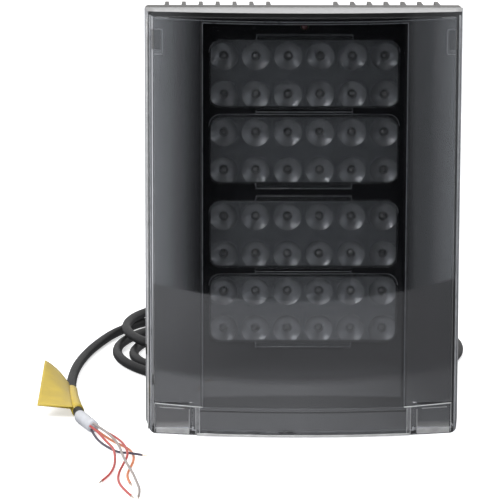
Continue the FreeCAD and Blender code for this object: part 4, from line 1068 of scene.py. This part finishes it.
def make_front():
    for side, name in ((-1, "left"), (1, "right")):
        make_corner(side, name)
        make_clip(side, name)
    make_strips()
    make_front_lines()
    for number, up in ((1, True), (2, False), (3, True), (4, False)):
        make_insert_highlight(number, up)


# Studio

WHITE = (1.0, 1.0, 1.0, 1.0)
FLOOR_FRONT = 405.0
FLOOR_BACK = 2600.0
FLOOR_HALF = 2600.0
FLOOR_BELOW = 0.2
FLOOR_BRIGHT_FRONT = 150.0
FLOOR_GLOW = 0.55
FLOOR_COLOUR = (0.82, 0.82, 0.82, 1.0)
# Brightness of the floor in reflections, before the unit and beside it
FLOOR_NEAR = (1.12, 0.60)  # from the middle to the right
FLOOR_FAR = (0.82, 0.42)  # further out, from the left to the middle
FLOOR_BESIDE = (0.30, 0.66)  # beside the unit, and far behind it
FLOOR_TINT = (0.975, 0.99, 1.04, 1.0)
ROOM_STRENGTH = 0.85
BACK_WALL = (0.97, 0.97, 0.975, 1.0)
WALL_TINT = (0.955, 1.0, 1.065)
# The walls' brightness by the sine of the angle to the side, from the far left to the far right
SIDE_WALLS = [
    (-1.0, 0.6), (-0.62, 1.0), (-0.50, 2.1), (-0.46, 1.9), (-0.435, 1.6), (-0.405, 1.15), (-0.375, 0.7),
    (-0.328, 0.2), (-0.300, 0.01), (0.355, 0.005), (0.372, 0.2), (0.39, 0.42), (0.435, 0.5), (0.467, 0.85),
    (0.5, 1.25), (0.53, 1.7), (0.56, 2.0), (0.64, 1.3), (1.0, 0.9),
]


def make_world():
    """White for the camera and behind the unit; in front a dark gap between two bright side walls,
    and a bright ceiling at the left."""
    world = bpy.data.worlds.new("studio")
    bpy.context.scene.world = world
    n = Nodes(world, "OutputWorld")
    way = n.split(n.add("TexCoord").outputs["Generated"])
    walls = n.add("ValToRGB", {"Fac": n.remap(way["X"], 0.0, 1.0, -1.0, 1.0)})
    stops = walls.color_ramp.elements
    while len(stops) < len(SIDE_WALLS):
        stops.new(0.5)
    for stop, (sine, value) in zip(stops, SIDE_WALLS):
        stop.position = (sine + 1) / 2
        stop.color = (*(value * share for share in WALL_TINT), 1)
    behind = n.remap(way["Y"], 0.0, 1.0, -0.2, 0.15)
    overhead = n.remap(way["Z"], 0.0, 1.0, 0.45, 0.75)
    leftward = n.remap(way["X"], 1.0, 0.15, -0.15, 0.30)
    ceiling = n.add("Math", {0: overhead, 1: leftward}, operation="MULTIPLY").outputs[0]
    room = n.mix_colours(ceiling, n.mix_colours(behind, walls.outputs["Color"], BACK_WALL), WHITE)
    dim = n.add("Background", {"Color": room, "Strength": ROOM_STRENGTH})
    white = n.add("Background", {"Color": WHITE})
    backgrounds = dim.outputs["Background"], white.outputs["Background"]
    n.surface(n.mix_shaders(n.light_path("Camera"), *backgrounds))


def floor_material():
    """Pale floor: white with its shadow to the camera, and its own brightness in reflections."""
    n = Coat("floor_white")
    place = n.split(n.add("NewGeometry").outputs["Position"])
    near_edge = at(0, -FLOOR_BRIGHT_FRONT, 0).y
    nearness = n.remap(place["Y"], 0.0, 1.0, near_edge - 0.012, near_edge + 0.012)
    near = n.remap(place["X"], *FLOOR_NEAR, 0.0, 0.13)
    far = n.remap(place["X"], *FLOOR_FAR, -0.22, -0.07)
    beside = n.remap(place["Y"], 0.0, 1.0, at(0, -20, 0).y, at(0, 20, 0).y)
    level = n.mix_values(
        beside, n.mix_values(nearness, far, near), n.remap(place["Y"], *FLOOR_BESIDE, 0.2, 0.4),
    )
    mirrored_floor = n.add("Emission", {"Color": FLOOR_TINT, "Strength": level}).outputs["Emission"]
    diffuse = n.add("BsdfDiffuse", {"Color": FLOOR_COLOUR}).outputs["BSDF"]
    glow = n.add("Emission", {"Strength": FLOOR_GLOW}).outputs["Emission"]
    seen = n.add("AddShader", {0: diffuse, 1: glow}).outputs["Shader"]
    return n.finish(n.mix_shaders(n.light_path("Camera"), mirrored_floor, seen))


def make_floor():
    corners = []
    for x, y in ((-1, -FLOOR_FRONT), (1, -FLOOR_FRONT), (1, FLOOR_BACK), (-1, FLOOR_BACK)):
        corners.append(at(x * FLOOR_HALF, y, -FLOOR_BELOW))
    mesh = bpy.data.meshes.new("floor")
    mesh.from_pydata(corners, [], [(0, 1, 2, 3)])
    mesh.materials.append(floor_material())
    floor = bpy.data.objects.new("floor", mesh)
    bpy.context.scene.collection.objects.link(floor)


def area_light(name, place, target, size, power):
    """A square lamp, its size in metres and its power in watts."""
    data = bpy.data.lights.new(name, "AREA")
    data.shape = "SQUARE"
    data.size = size
    data.energy = power
    light = bpy.data.objects.new(name, data)
    bpy.context.scene.collection.objects.link(light)
    light.location = at(*place)
    light.rotation_euler = (at(*target) - light.location).to_track_quat("-Z", "Y").to_euler()


def make_lights():
    area_light("key_upper_left", (-1500, -900, 1700), (0, 0, 120), 1.3, 38)
    area_light("fill_right", (1900, -500, 900), (0, 0, 120), 1.2, 12)
    area_light("top_soft", (0, 500, 2200), (0, 30, 100), 1.8, 20)


make_camera()
make_materials()
dress_nodes()
make_cable()
make_cores()
make_cups()
make_front()
make_world()
make_floor()
make_lights()

bpy.context.scene.view_settings.view_transform = "Standard"
